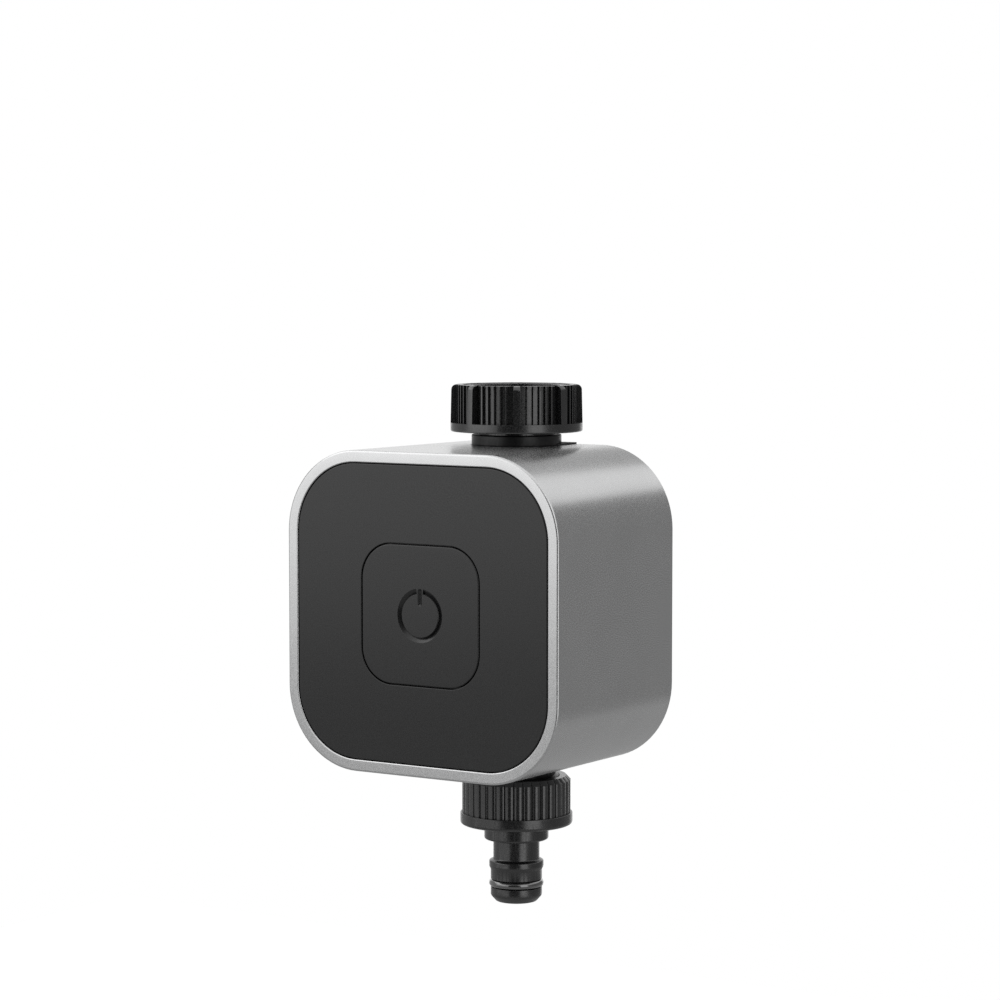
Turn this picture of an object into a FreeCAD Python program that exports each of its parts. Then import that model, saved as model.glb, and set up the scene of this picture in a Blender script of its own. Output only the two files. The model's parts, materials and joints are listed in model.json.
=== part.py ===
"""Irrigation controller: shut-off valve, electronics and two cells in a rounded square case.

Frame: +Z up along the water pipe, the face with the button looks along -Y, and the origin lies on the pipe's
axis where the supply's end seals on the inlet washer. Every piece is drawn about the middle of the case, on the
pipe's axis, and its placement carries it down to there. Depths are counted forwards, against Y: the front of
the case is at a positive depth and its open back at a negative one. Lengths are in millimetres.
"""
import FreeCAD, Part
import math
import os
import Sketcher

os.makedirs("parts", exist_ok=True)
doc = FreeCAD.newDocument("irrigation_controller")

# Driving dimensions: each has one cell, whose alias is its name
DIMENSIONS = {
    # Case
    "case_half": 48.0,
    "case_corner": 24.8,
    "case_front": 52.6,
    "case_back": 12.7,
    "case_wall": 2.6,
    "rim_width": 3.58,
    "rim_lip": 3.0,
    "rim_round": 0.7,
    "small_edge": 0.4,
    # Clearances
    "slide_gap": 0.25,
    "float_gap": 0.1,
    "fit_gap": 0.1,
    "tight_gap": 0.05,
    "tip_play": 0.3,
    # Front panel and button
    "panel_gap": 0.25,
    "panel_recess": 0.15,
    "panel_sheet": 2.25,
    "panel_ledge": 1.5,
    "panel_skirt": 5.0,
    "skirt_wall": 1.8,
    "button_half": 20.7,
    "button_corner": 10.5,
    "button_gap": 0.35,
    "button_flange": 1.2,
    "button_flange_reach": 1.9,
    "button_travel": 0.7,
    "button_shell": 1.5,
    "boss_radius": 3.0,
    "nub_radius": 2.4,
    "rib_half": 0.6,
    "membrane": 0.8,
    "membrane_play": 0.8,
    "membrane_corner": 13.5,
    "retainer_band": 4.6,
    "retainer": 1.2,
    "retainer_screw_bite": 1.0,
    # Water pipe, inlet end
    "collar_radius": 13.77,
    "collar_rise": 3.2,
    "pipe_radius": 11.2,
    "pipe_bore": 8.0,
    "socket_bore": 9.6,
    "socket_depth": 15.0,
    "nut_gap": 0.9,
    "nut_floor": 2.6,
    "nut_height": 14.3,
    "nut_radius": 19.96,
    "nut_flange_radius": 20.22,
    "nut_flange": 2.7,
    "nut_shoulder": 1.5,
    "nut_foot_round": 0.3,
    "nut_thread_radius": 16.65,
    "rib_depth": 1.3,
    "neck_radius": 11.5,
    "tail_flange": 2.2,
    "tail_flange_radius": 15.6,
    "tail_bore": 6.6,
    "washer": 2.4,
    "washer_radius": 12.9,
    "adapter_bore": 13.32,
    "adapter_recess": 0.3,
    "thread_relief": 0.6,
    "key_slot": 3.0,
    "key_slot_depth": 1.6,
    "key_slot_inside": 1.3,
    "seal_wire": 0.8,
    "seal_rise": 4.5,
    "groove_play": 0.25,
    "clip_drop": 4.2,
    "clip_sheet": 1.0,
    "clip_bite": 0.8,
    "clip_mouth": 5.0,
    "strainer_wall": 0.7,
    "strainer_depth": 9.0,
    "strainer_taper": 1.0,
    "strainer_rim": 0.8,
    "strainer_rim_reach": 1.5,
    "strainer_slot": 1.0,
    "strainer_slot_margin": 1.4,
    # Water pipe, outlet end
    "nipple_radius": 13.15,
    "nipple_length": 13.1,
    "nipple_lead": 0.8,
    "connector_gap": 6.0,
    "connector_radius": 16.74,
    "connector_chamfer": 1.35,
    "connector_bore": 13.32,
    "connector_cap": 11.45,
    "connector_ring_radius": 17.32,
    "connector_ring": 3.68,
    "ring_round": 1.0,
    "step_radius": 9.93,
    "step_length": 4.77,
    "step_round": 0.5,
    "spigot_neck_radius": 7.14,
    "spigot_neck": 6.1,
    "latch_radius": 8.4,
    "latch_length": 3.3,
    "latch_lead": 0.6,
    "latch_back": 0.9,
    "spigot_radius": 7.93,
    "seal_below_latch": 4.25,
    "spigot_seal_radius": 8.48,
    "spigot_seal_wire": 1.0,
    "spigot_tip": 5.75,
    "tip_length": 1.9,
    "tip_taper": 1.7,
    "spigot_bore": 4.9,
    "grip_groove": 0.8,
    "grip_groove_depth": 0.6,
    "outlet_washer": 2.5,
    "outlet_washer_inside": 1.5,
    # Valve
    "chamber_radius": 19.0,
    "chamber_back": 9.0,
    "flange_radius": 23.0,
    "flange": 3.4,
    "flange_front": 12.4,
    "inlet_bore_foot": 12.0,
    "outlet_bore_head": 3.0,
    "passage_half": 6.0,
    "seat_bore": 6.2,
    "seat_radius": 8.5,
    "seat_drop": 0.8,
    "annulus_radius": 16.6,
    "annulus_depth": 3.7,
    "diaphragm": 1.2,
    "diaphragm_web": 0.8,
    "convolution": 0.55,
    "convolution_reach": 1.2,
    "poppet_disc": 0.6,
    "poppet_rim": 0.3,
    "poppet_step": 1.0,
    "poppet_neck_radius": 3.2,
    "poppet_pin_radius": 1.9,
    "poppet_pin": 0.75,
    "poppet_lift": 1.9,
    "dome_play": 1.0,
    "dome_slope": 1.5,
    "bonnet_roof": 1.8,
    "pilot_radius": 0.7,
    "valve_screw_circle": 20.0,
    "valve_screw_tip": 3.0,
    "valve_boss_radius": 2.8,
    "valve_boss_back": 1.5,
    "lug_reach": 29.0,
    "lug_radius": 4.2,
    "lug_half_depth": 2.0,
    "guide_radius": 4.6,
    "guide_bore": 3.4,
    "guide_length": 14.7,
    "plunger_lift_off": 0.2,
    "plunger_length": 8.6,
    "plunger_stroke": 1.2,
    "plunger_tip_radius": 1.6,
    "plunger_tip": 1.0,
    "plunger_hollow_radius": 2.0,
    "plunger_hollow": 4.0,
    "core_length": 7.2,
    "coil_stand": 1.0,
    "coil_radius": 9.2,
    "coil_rim": 0.3,
    "coil_tube": 0.6,
    "coil_length": 14.6,
    "coil_flange": 0.8,
    "coil_pin_radius": 0.4,
    "coil_pin_across": 2.0,
    "coil_pin_drop": 7.0,
    "yoke_sheet": 1.2,
    "yoke_gap": 0.5,
    "yoke_half_width": 4.5,
    "diaphragm_spring_radius": 4.1,
    "diaphragm_spring_wire": 0.35,
    "plunger_spring_radius": 1.5,
    "plunger_spring_wire": 0.25,
    # Inner frame and rear housing
    "frame_plate": 3.0,
    "frame_back": 19.5,
    "frame_rim": 6.4,
    "frame_rim_wall": 3.5,
    "frame_rim_back": 1.5,
    "splash_wall": 1.6,
    "splash_rise": 4.0,
    "solenoid_room": 2.6,
    "gasket_inset": 2.1,
    "gasket_width": 2.2,
    "gasket_depth": 1.4,
    "gasket_proud": 0.2,
    "back_plate": 2.5,
    "rear_wall": 1.8,
    "tongue_proud": 0.5,
    "post_from_side": 13.05,
    "post_from_cradle": 4.5,
    "post_radius": 3.4,
    "frame_screw_length": 12.0,
    "screw_radius": 1.25,
    "screw_head_radius": 2.2,
    "screw_head": 1.8,
    "counterbore_play": 0.2,
    "small_screw_radius": 0.9,
    "small_head_radius": 1.8,
    "small_head": 1.2,
    # Electronics
    "board_half_width": 23.0,
    "board_past_cradle": 0.8,
    "board_corner": 2.0,
    "board": 1.6,
    "board_back": 41.0,
    "board_screw_inset": 4.0,
    "board_screw_drop": 4.5,
    "board_screw_length": 6.0,
    "pillar_radius": 2.6,
    "switch_half": 3.1,
    "switch_corner": 0.5,
    "switch_body": 1.8,
    "switch_cap_radius": 1.7,
    "switch_cap": 0.6,
    "radio_half_width": 7.5,
    "radio_length": 16.0,
    "radio_inset": 3.0,
    "radio_sheet": 0.8,
    "shield_margin": 0.9,
    "shield_length": 10.4,
    "shield_rise": 1.6,
    "chip": 1.2,
    "capacitor_radius": 3.2,
    "capacitor": 2.2,
    "socket_half_width": 4.0,
    "socket_half_height": 2.5,
    "socket": 3.2,
    # Cells
    "cell_radius": 7.1,
    "cell_length": 50.5,
    "cell_edge": 0.5,
    "cell_nub": 1.2,
    "cell_nub_radius": 2.75,
    "cell_depth": 31.0,
    "cell_play": 0.15,
    "cell_from_side": 11.75,
    "cradle_side": 0.55,
    "spring_room": 3.1,
    "cradle_end_wall": 1.8,
    "contact_sheet": 0.4,
    "contact_half": 5.0,
    "contact_tab": 3.0,
    "contact_spring_radius": 3.6,
    "contact_wire": 0.3,
}

sheet = doc.addObject("Spreadsheet::Sheet", "Sizes")
for row, (alias, number) in enumerate(DIMENSIONS.items(), 1):
    sheet.set(f"A{row}", alias)
    sheet.set(f"B{row}", str(number))
    sheet.setAlias(f"B{row}", alias)
doc.recompute()


class Size:
    """A length held twice: as a number, and as the text that ties it to the sheet."""

    def __init__(self, number, text=None):
        self.number = float(number)
        self.text = text or f"{float(number):.6f}"

    def join(self, other, number, mark):
        return Size(number, f"({self.text} {mark} {other.text})")

    def __add__(self, other):
        other = as_size(other)
        return self.join(other, self.number + other.number, "+")

    def __sub__(self, other):
        other = as_size(other)
        return self.join(other, self.number - other.number, "-")

    def __mul__(self, other):
        other = as_size(other)
        return self.join(other, self.number * other.number, "*")

    def __truediv__(self, other):
        other = as_size(other)
        return self.join(other, self.number / other.number, "/")

    def __radd__(self, other):
        return as_size(other) + self

    def __rsub__(self, other):
        return as_size(other) - self

    def __rmul__(self, other):
        return as_size(other) * self

    def __neg__(self):
        return as_size(0) - self


def as_size(value):
    return value if isinstance(value, Size) else Size(value)


class Dimensions:
    """Each driving dimension by its name, such as d.case_half."""

    def __init__(self, numbers):
        for name, number in numbers.items():
            setattr(self, name, Size(number, f"Sizes.{name}"))


d = Dimensions(DIMENSIONS)


# Helpers for bodies, sketches and features

def bind(thing, path, value):
    """Ties one property to the sheet."""
    value = as_size(value)
    thing.setExpression(path, value.text)
    return value


# From the middle of the case up to the sealing plane: the stack of pieces between them
seal_height = (d.case_half + d.collar_rise + d.nut_gap + d.nut_floor + d.float_gap + d.tail_flange
               + d.washer)


def new_body(label, across=0, forward=0, several=False):
    """An empty body, placed from the middle of the case."""
    body = doc.addObject("PartDesign::Body", label)
    body.Label = label
    body.AllowCompound = several
    bind(body, "Placement.Base.x", across)
    bind(body, "Placement.Base.y", -as_size(forward))
    bind(body, "Placement.Base.z", -seal_height)
    return body


def sketch_on(body, role, name, lift=0):
    """A sketch on one of the body's own origin planes, lifted along the plane's normal."""
    plane = next(each for each in body.Origin.OriginFeatures if each.Role == role)
    sketch = body.newObject("Sketcher::SketchObject", name)
    sketch.AttachmentSupport = (plane, [""])
    sketch.MapMode = "FlatFace"
    bind(sketch, "AttachmentOffset.Base.z", lift)
    return sketch


def measure(sketch, kind, value, *where):
    """One driving constraint, tied to the sheet."""
    value = as_size(value)
    index = sketch.addConstraint(Sketcher.Constraint(kind, *where, value.number))
    sketch.setExpression(f"Constraints[{index}]", value.text)


def hold_point(sketch, edge, end, x, y):
    """Places a point by its distances from the sketch's two axes."""
    if as_size(x).number == 0:
        sketch.addConstraint(Sketcher.Constraint("PointOnObject", edge, end, -2))
    else:
        measure(sketch, "DistanceX", x, -1, 1, edge, end)
    if as_size(y).number == 0:
        sketch.addConstraint(Sketcher.Constraint("PointOnObject", edge, end, -1))
    else:
        measure(sketch, "DistanceY", y, -1, 1, edge, end)


def polygon(*points):
    """A closed outline of straight sides."""
    def draw(sketch):
        first = sketch.GeometryCount
        corners = [FreeCAD.Vector(as_size(x).number, as_size(y).number, 0) for x, y in points]
        count = len(corners)
        for i in range(count):
            sketch.addGeometry(Part.LineSegment(corners[i], corners[(i + 1) % count]))
        for i in range(count):
            sketch.addConstraint(Sketcher.Constraint("Coincident", first + i, 2, first + (i + 1) % count, 1))
        for i, (x, y) in enumerate(points):
            hold_point(sketch, first + i, 1, x, y)
    return draw


def rectangle(left, right, low, high):
    return polygon((left, low), (right, low), (right, high), (left, high))


def circle(radius, x=0, y=0):
    def draw(sketch):
        centre = FreeCAD.Vector(as_size(x).number, as_size(y).number, 0)
        edge = sketch.addGeometry(Part.Circle(centre, FreeCAD.Vector(0, 0, 1), as_size(radius).number))
        hold_point(sketch, edge, 3, x, y)
        measure(sketch, "Radius", radius, edge)
    return draw


def rounded(half_width, half_height, corner):
    """A rectangle about the axes with round corners: four sides, and four arcs tangent to them."""
    def draw(sketch):
        first = sketch.GeometryCount
        w = as_size(half_width).number
        h = as_size(half_height).number
        r = as_size(corner).number
        up = FreeCAD.Vector(0, 0, 1)
        sides = [((-w + r, -h), (w - r, -h)), ((w, -h + r), (w, h - r)),
                 ((w - r, h), (-w + r, h)), ((-w, h - r), (-w, -h + r))]
        centres = [(w - r, -h + r), (w - r, h - r), (-w + r, h - r), (-w + r, -h + r)]
        for i in range(4):
            start, end = sides[i]
            sketch.addGeometry(Part.LineSegment(FreeCAD.Vector(*start, 0), FreeCAD.Vector(*end, 0)))
            turn = Part.Circle(FreeCAD.Vector(*centres[i], 0), up, r)
            sketch.addGeometry(Part.ArcOfCircle(turn, (i - 1) * math.pi / 2, i * math.pi / 2))
        for i in range(4):
            side = first + 2 * i
            following = first + (2 * i + 2) % 8
            sketch.addConstraint(Sketcher.Constraint("Tangent", side, 2, side + 1, 1))
            sketch.addConstraint(Sketcher.Constraint("Tangent", side + 1, 2, following, 1))
            sketch.addConstraint(Sketcher.Constraint(("Horizontal", "Vertical")[i % 2], side))
            if i:
                sketch.addConstraint(Sketcher.Constraint("Equal", first + 1, side + 1))
        measure(sketch, "Radius", corner, first + 1)
        measure(sketch, "DistanceY", -as_size(half_height), -1, 1, first, 1)
        measure(sketch, "DistanceX", half_width, -1, 1, first + 2, 1)
        measure(sketch, "DistanceY", half_height, -1, 1, first + 4, 1)
        measure(sketch, "DistanceX", -as_size(half_width), -1, 1, first + 6, 1)
    return draw


def square(half, corner):
    return rounded(half, half, corner)


def add_feature(body, kind, name, sketch, outlines):
    for draw in outlines:
        draw(sketch)
    feature = body.newObject(kind, name)
    feature.Profile = sketch
    body.Tip = feature
    return feature


def slab(body, name, back, front, *outlines):
    """Adds a slab that faces forwards, between two depths."""
    sketch = sketch_on(body, "XZ_Plane", name + "_outline", back)
    feature = add_feature(body, "PartDesign::Pad", name, sketch, outlines)
    bind(feature, "Length", as_size(front) - back)
    return feature


def sink(body, name, back, front, *outlines):
    """Cuts an opening that faces forwards, between two depths."""
    sketch = sketch_on(body, "XZ_Plane", name + "_outline", front)
    feature = add_feature(body, "PartDesign::Pocket", name, sketch, outlines)
    bind(feature, "Length", as_size(front) - back)
    return feature


def column(body, name, low, high, *outlines):
    """Adds an upright block between two heights."""
    sketch = sketch_on(body, "XY_Plane", name + "_outline", low)
    feature = add_feature(body, "PartDesign::Pad", name, sketch, outlines)
    bind(feature, "Length", as_size(high) - low)
    return feature


def shaft(body, name, low, high, *outlines):
    """Cuts an upright hole between two heights."""
    sketch = sketch_on(body, "XY_Plane", name + "_outline", high)
    feature = add_feature(body, "PartDesign::Pocket", name, sketch, outlines)
    bind(feature, "Length", as_size(high) - low)
    return feature


def turned(body, name, *outlines, cut=False):
    """Turns outlines of (radius, height) about the upright axis, to add metal or to cut it."""
    sketch = sketch_on(body, "XZ_Plane", name + "_outline")
    kind = "PartDesign::Groove" if cut else "PartDesign::Revolution"
    feature = add_feature(body, kind, name, sketch, outlines)
    feature.ReferenceAxis = (sketch, ["V_Axis"])
    feature.Angle = 360
    return feature


def turned_forward(body, name, *corners, cut=False):
    """Turns an outline of (radius, depth) about the axis that runs from back to front."""
    sketch = sketch_on(body, "XY_Plane", name + "_outline")
    kind = "PartDesign::Groove" if cut else "PartDesign::Revolution"
    outline = polygon(*[(radius, -as_size(depth)) for radius, depth in corners])
    feature = add_feature(body, kind, name, sketch, [outline])
    feature.ReferenceAxis = (sketch, ["V_Axis"])
    feature.Angle = 360
    return feature


def repeat_around(body, name, feature, count):
    """Repeats a feature evenly around the upright axis."""
    pattern = body.newObject("PartDesign::PolarPattern", name)
    pattern.Originals = [feature]
    pattern.Axis = (next(each for each in body.Origin.OriginFeatures if each.Role == "Z_Axis"), [""])
    pattern.Angle = 360
    pattern.Occurrences = count
    body.Tip = pattern
    return pattern


def soften(body, name, size, belongs, kind="Fillet"):
    """Rounds or chamfers each edge of the last feature that belongs says is wanted."""
    doc.recompute()
    base = body.Tip
    edges = [f"Edge{i}" for i, edge in enumerate(base.Shape.Edges, 1) if belongs(edge)]
    if not edges:
        raise RuntimeError(f"{body.Label}: no edge for {name}")
    feature = body.newObject(f"PartDesign::{kind}", name)
    feature.Base = (base, edges)
    bind(feature, "Radius" if kind == "Fillet" else "Size", size)
    body.Tip = feature
    return feature


TOUCH = 0.02


def on_square(half, corner, depth):
    """Whether an edge lies on a rounded square outline at one depth."""
    half = as_size(half).number
    corner = as_size(corner).number
    depth = as_size(depth).number

    def belongs(edge):
        box = edge.BoundBox
        if abs(box.YMin + depth) > TOUCH or abs(box.YMax + depth) > TOUCH:
            return False
        middle = edge.valueAt((edge.FirstParameter + edge.LastParameter) / 2)
        reach = [max(abs(side) - (half - corner), 0) for side in (middle.x, middle.z)]
        return abs(math.hypot(*reach) - corner) < TOUCH
    return belongs


def on_circle(radius, height):
    """Whether an edge is a level circle, or a part of one, about the pipe's axis."""
    radius = as_size(radius).number
    height = as_size(height).number

    def belongs(edge):
        box = edge.BoundBox
        if abs(box.ZMin - height) > TOUCH or abs(box.ZMax - height) > TOUCH:
            return False
        middle = edge.valueAt((edge.FirstParameter + edge.LastParameter) / 2)
        return abs(math.hypot(middle.x, middle.y) - radius) < TOUCH
    return belongs


def four(across, up):
    """The four places at plus and minus a distance each way."""
    return [(sx * as_size(across), sy * as_size(up)) for sx in (-1, 1) for sy in (-1, 1)]


def ring_seal(label, radius, wire, height):
    """A seal of round section about the pipe's axis."""
    body = new_body(label)
    turned(body, "ring", circle(wire, radius, height))
    return body


def screws(label, places, shank_radius, head_radius, tip, seat, head):
    """Equal screws that face forwards: shank from tip to seat, and a head on the seat."""
    body = new_body(label, several=True)
    slab(body, "shanks", tip, seat, *[circle(shank_radius, x, z) for x, z in places])
    slab(body, "heads", seat, as_size(seat) + head, *[circle(head_radius, x, z) for x, z in places])
    return body


# Depths and outlines that several pieces share
HALF_ROOT = math.sqrt(0.5)
inner_half = d.case_half - d.case_wall
inner_corner = d.case_corner - d.case_wall
lip_half = d.case_half - d.rim_width
lip_corner = d.case_corner - d.rim_width
lip_back = d.case_front - d.rim_lip
panel_half = lip_half - d.panel_gap
panel_corner = lip_corner - d.panel_gap
panel_front = d.case_front - d.panel_recess
panel_back = panel_front - d.panel_sheet
ledge_front = lip_back - d.float_gap
ledge_back = ledge_front - d.panel_ledge
flange_front = panel_back - d.float_gap
membrane_front = flange_front - d.button_flange
membrane_back = membrane_front - d.membrane
retainer_back = membrane_back - d.retainer
opening_half = d.button_half + d.button_gap
opening_corner = d.button_corner + d.button_gap
board_front = d.board_back + d.board
switch_top = board_front + d.switch_body + d.switch_cap
retainer_inner_half = d.button_half + d.button_flange_reach + d.membrane_play
retainer_inner_corner = d.membrane_corner - d.retainer_band
membrane_half = retainer_inner_half + d.retainer_band
retainer_screw = (membrane_half - d.membrane_corner
                  + (d.membrane_corner - d.retainer_band / 2) * HALF_ROOT)
retainer_places = four(retainer_screw, retainer_screw)
collar_high = d.case_half + d.collar_rise
notch_radius = d.collar_radius + d.slide_gap


def outer_shell():
    """Cast case: a rounded square sleeve, a lip round its front and a notch for the pipe above and below."""
    body = new_body("outer_shell")
    slab(body, "block", -d.case_back, d.case_front, square(d.case_half, d.case_corner))
    sink(body, "hollow", -d.case_back, lip_back, square(inner_half, inner_corner))
    sink(body, "window", lip_back, d.case_front, square(lip_half, lip_corner))
    for name, low, high in (("top", 0, d.case_half), ("bottom", -d.case_half, 0)):
        shaft(body, name + "_notch_round", low, high, circle(notch_radius))
        shaft(body, name + "_notch_slot", low, high,
              rectangle(-notch_radius, notch_radius, 0, d.case_back))
    soften(body, "rim_round", d.rim_round, on_square(d.case_half, d.case_corner, d.case_front))
    soften(body, "window_chamfer", d.rim_round / 2, on_square(lip_half, lip_corner, d.case_front), "Chamfer")
    return body


def front_panel():
    """Dark moulded panel: sheet that fills the window, ledge behind the lip and skirt inside the case."""
    body = new_body("front_panel")
    skirt_half = inner_half - d.slide_gap
    skirt_corner = inner_corner - d.slide_gap
    skirt_back = ledge_back - d.panel_skirt
    slab(body, "sheet", ledge_front, panel_front, square(panel_half, panel_corner))
    slab(body, "ledge", skirt_back, ledge_front, square(skirt_half, skirt_corner))
    sink(body, "skirt_hollow", skirt_back, panel_back,
         square(skirt_half - d.skirt_wall, skirt_corner - d.skirt_wall))
    slab(body, "membrane_seat", membrane_front, panel_back, square(membrane_half, d.membrane_corner))
    sink(body, "membrane_well", membrane_front, panel_back,
         square(retainer_inner_half, retainer_inner_corner))
    sink(body, "button_opening", panel_back, panel_front, square(opening_half, opening_corner))
    sink(body, "screw_holes", membrane_front, panel_back + d.retainer_screw_bite + d.tip_play,
         *[circle(d.small_screw_radius + d.tight_gap, x, z) for x, z in retainer_places])
    soften(body, "panel_edge", d.rim_round / 2, on_square(panel_half, panel_corner, panel_front))
    return body


def push_button():
    """Rounded square cap with a flange that stops behind the panel and a boss that carries the press."""
    body = new_body("push_button")
    slab(body, "cap", flange_front, panel_front, square(d.button_half, d.button_corner))
    slab(body, "flange", membrane_front, flange_front,
         square(d.button_half + d.button_flange_reach, d.button_corner + d.button_flange_reach))
    reach = d.button_half - d.button_shell
    roof = panel_front - d.button_shell
    sink(body, "hollow", membrane_front, roof, square(reach, d.button_corner - d.button_shell))
    slab(body, "boss", membrane_front, roof, circle(d.boss_radius))
    for name, width, height in (("rib_level", reach, d.rib_half), ("rib_upright", d.rib_half, reach)):
        slab(body, name, membrane_front + d.rib_half, roof, rectangle(-width, width, -height, height))
    soften(body, "cap_edge", d.rim_round / 2, on_square(d.button_half, d.button_corner, panel_front))
    return body


def button_membrane():
    """Rubber sheet that seals behind the button, with a nub over the switch."""
    body = new_body("button_membrane")
    slab(body, "sheet", membrane_back, membrane_front, square(membrane_half, d.membrane_corner))
    slab(body, "nub", switch_top + d.button_travel + d.tight_gap, membrane_back, circle(d.nub_radius))
    sink(body, "screw_holes", membrane_back, membrane_front,
         *[circle(d.small_screw_radius + d.fit_gap, x, z) for x, z in retainer_places])
    return body


def membrane_retainer():
    """Frame that clamps the rubber sheet to the back of the panel."""
    body = new_body("membrane_retainer")
    slab(body, "frame", retainer_back, membrane_back, square(membrane_half, d.membrane_corner),
         square(retainer_inner_half, retainer_inner_corner))
    sink(body, "screw_holes", retainer_back, membrane_back,
         *[circle(d.small_screw_radius + d.fit_gap, x, z) for x, z in retainer_places])
    return body


def retainer_screws():
    """Four small screws, heads at the back, that hold the retainer."""
    body = new_body("retainer_screws", several=True)
    slab(body, "heads", retainer_back - d.small_head, retainer_back,
         *[circle(d.small_head_radius, x, z) for x, z in retainer_places])
    slab(body, "shanks", retainer_back, panel_back + d.retainer_screw_bite,
         *[circle(d.small_screw_radius, x, z) for x, z in retainer_places])
    return body


# The union nut turns on the inlet's neck, and the adapter ring inside it takes the supply's thread
nut_low = collar_high + d.nut_gap
nut_high = nut_low + d.nut_height
nut_floor_top = nut_low + d.nut_floor
tail_low = nut_floor_top + d.float_gap
tail_high = tail_low + d.tail_flange

NUT_SECTORS = 8
NARROW_RIBS = (10.0, 16.2, 22.5, 28.8, 35.0)
NARROW_RIB_HALF_ANGLE = 1.5
WIDE_RIB_HALF_ANGLE = 3.6


def inlet_union_nut():
    """Ribbed union nut: eight wide ribs, and between them windows that hold five narrow ribs each."""
    body = new_body("inlet_union_nut")
    wall_top = nut_low + d.nut_flange
    bore = d.neck_radius + d.fit_gap
    turned(body, "nut", polygon(
        (bore, nut_low), (d.nut_flange_radius, nut_low), (d.nut_flange_radius, wall_top),
        (d.nut_radius, wall_top), (d.nut_radius, nut_high), (d.nut_thread_radius, nut_high),
        (d.nut_thread_radius, nut_floor_top), (bore, nut_floor_top)))
    soften(body, "shoulder", d.nut_shoulder, on_circle(d.nut_radius, nut_high))
    soften(body, "foot_edge", d.nut_foot_round, on_circle(d.nut_flange_radius, nut_low))
    root = d.nut_radius - d.rib_depth
    outside = d.nut_flange_radius + d.rib_depth
    edges = [WIDE_RIB_HALF_ANGLE]
    for middle in NARROW_RIBS:
        edges += [middle - NARROW_RIB_HALF_ANGLE, middle + NARROW_RIB_HALF_ANGLE]
    edges.append(360 / NUT_SECTORS - WIDE_RIB_HALF_ANGLE)

    def corner(radius, degrees):
        angle = math.radians(degrees)
        return radius * math.cos(angle), radius * math.sin(angle)

    grooves = [polygon(corner(root, start), corner(outside, start), corner(outside, end), corner(root, end))
               for start, end in zip(edges[::2], edges[1::2])]
    window = shaft(body, "rib_windows", wall_top, nut_high, *grooves)
    repeat_around(body, "rib_windows_around", window, NUT_SECTORS)
    return body


def thread_adapter():
    """Ring screwed into the nut, which brings its thread down to the supply's, with two slots for a key."""
    body = new_body("thread_adapter")
    outside = d.nut_thread_radius - d.fit_gap
    low = tail_high + d.float_gap
    high = nut_high - d.adapter_recess
    relief = d.adapter_bore + d.thread_relief
    thread_start = tail_high + d.washer
    turned(body, "ring", polygon(
        (relief, low), (outside, low), (outside, high), (d.adapter_bore, high),
        (d.adapter_bore, thread_start), (relief, thread_start)))
    near = d.adapter_bore + d.key_slot_inside
    far = outside + d.fit_gap
    for name, left, right in (("key_slot_right", near, far), ("key_slot_left", -far, -near)):
        shaft(body, name, high - d.key_slot_depth, high,
              rectangle(left, right, -d.key_slot / 2, d.key_slot / 2))
    return body


# The tailpiece plugs into the valve's inlet, and a snap ring holds it there
plug_radius = d.socket_bore - d.fit_gap
plug_low = collar_high - d.socket_depth + d.tip_play
plug_seal = plug_low + d.seal_rise
clip_high = collar_high - d.clip_drop
clip_low = clip_high - d.clip_sheet


def level_band(inside, outside, low, high):
    return polygon((inside, low), (outside, low), (outside, high), (inside, high))


def inlet_tailpiece():
    """Flanged tube that holds the nut and plugs into the valve, grooved for its seal and snap ring."""
    body = new_body("inlet_tailpiece")
    turned(body, "tube", polygon(
        (d.tail_bore, plug_low), (plug_radius, plug_low), (plug_radius, collar_high),
        (d.neck_radius, collar_high), (d.neck_radius, tail_low), (d.tail_flange_radius, tail_low),
        (d.tail_flange_radius, tail_high), (d.tail_bore, tail_high)))
    seal_half = d.seal_wire + d.groove_play
    past = d.socket_bore + d.fit_gap
    turned(body, "seal_groove", level_band(plug_radius - d.seal_wire * 2, past, plug_seal - seal_half,
                                           plug_seal + seal_half), cut=True)
    turned(body, "clip_groove", level_band(plug_radius - d.clip_bite - d.fit_gap, past, clip_low - d.fit_gap,
                                           clip_high + d.fit_gap), cut=True)
    return body


def tailpiece_seal():
    return ring_seal("tailpiece_seal", plug_radius - d.seal_wire + d.tight_gap, d.seal_wire, plug_seal)


def tailpiece_clip():
    """Open snap ring, half in the tailpiece's groove and half in the valve's."""
    body = new_body("tailpiece_clip")
    outside = d.socket_bore + d.clip_bite
    turned(body, "ring", level_band(plug_radius - d.clip_bite, outside, clip_low, clip_high))
    shaft(body, "mouth", clip_low, clip_high,
          rectangle(0, outside + d.fit_gap, -d.clip_mouth / 2, d.clip_mouth / 2))
    return body


def inlet_washer():
    """Flat rubber washer on which the supply's end seals."""
    body = new_body("inlet_washer")
    inside = d.tail_bore + d.strainer_rim_reach + d.fit_gap
    turned(body, "washer", level_band(inside, d.washer_radius, tail_high, tail_high + d.washer))
    return body


STRAINER_SLOTS = 12


def inlet_strainer():
    """Slotted thimble that hangs in the inlet from its own rim."""
    body = new_body("inlet_strainer")
    outside = d.tail_bore - d.fit_gap
    foot = outside - d.strainer_taper
    rim = d.tail_bore + d.strainer_rim_reach
    low = tail_high - d.strainer_depth
    rim_top = tail_high + d.strainer_rim
    turned(body, "thimble", polygon(
        (0, low), (foot, low), (outside, tail_high), (rim, tail_high), (rim, rim_top),
        (outside - d.strainer_wall, rim_top), (foot - d.strainer_wall, low + d.strainer_wall),
        (0, low + d.strainer_wall)))
    slot = shaft(body, "slot", low + d.strainer_slot_margin, tail_high - d.strainer_slot_margin,
                 rectangle(foot - d.strainer_wall * 2, d.tail_bore, -d.strainer_slot / 2, d.strainer_slot / 2))
    repeat_around(body, "slots", slot, STRAINER_SLOTS)
    return body


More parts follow.
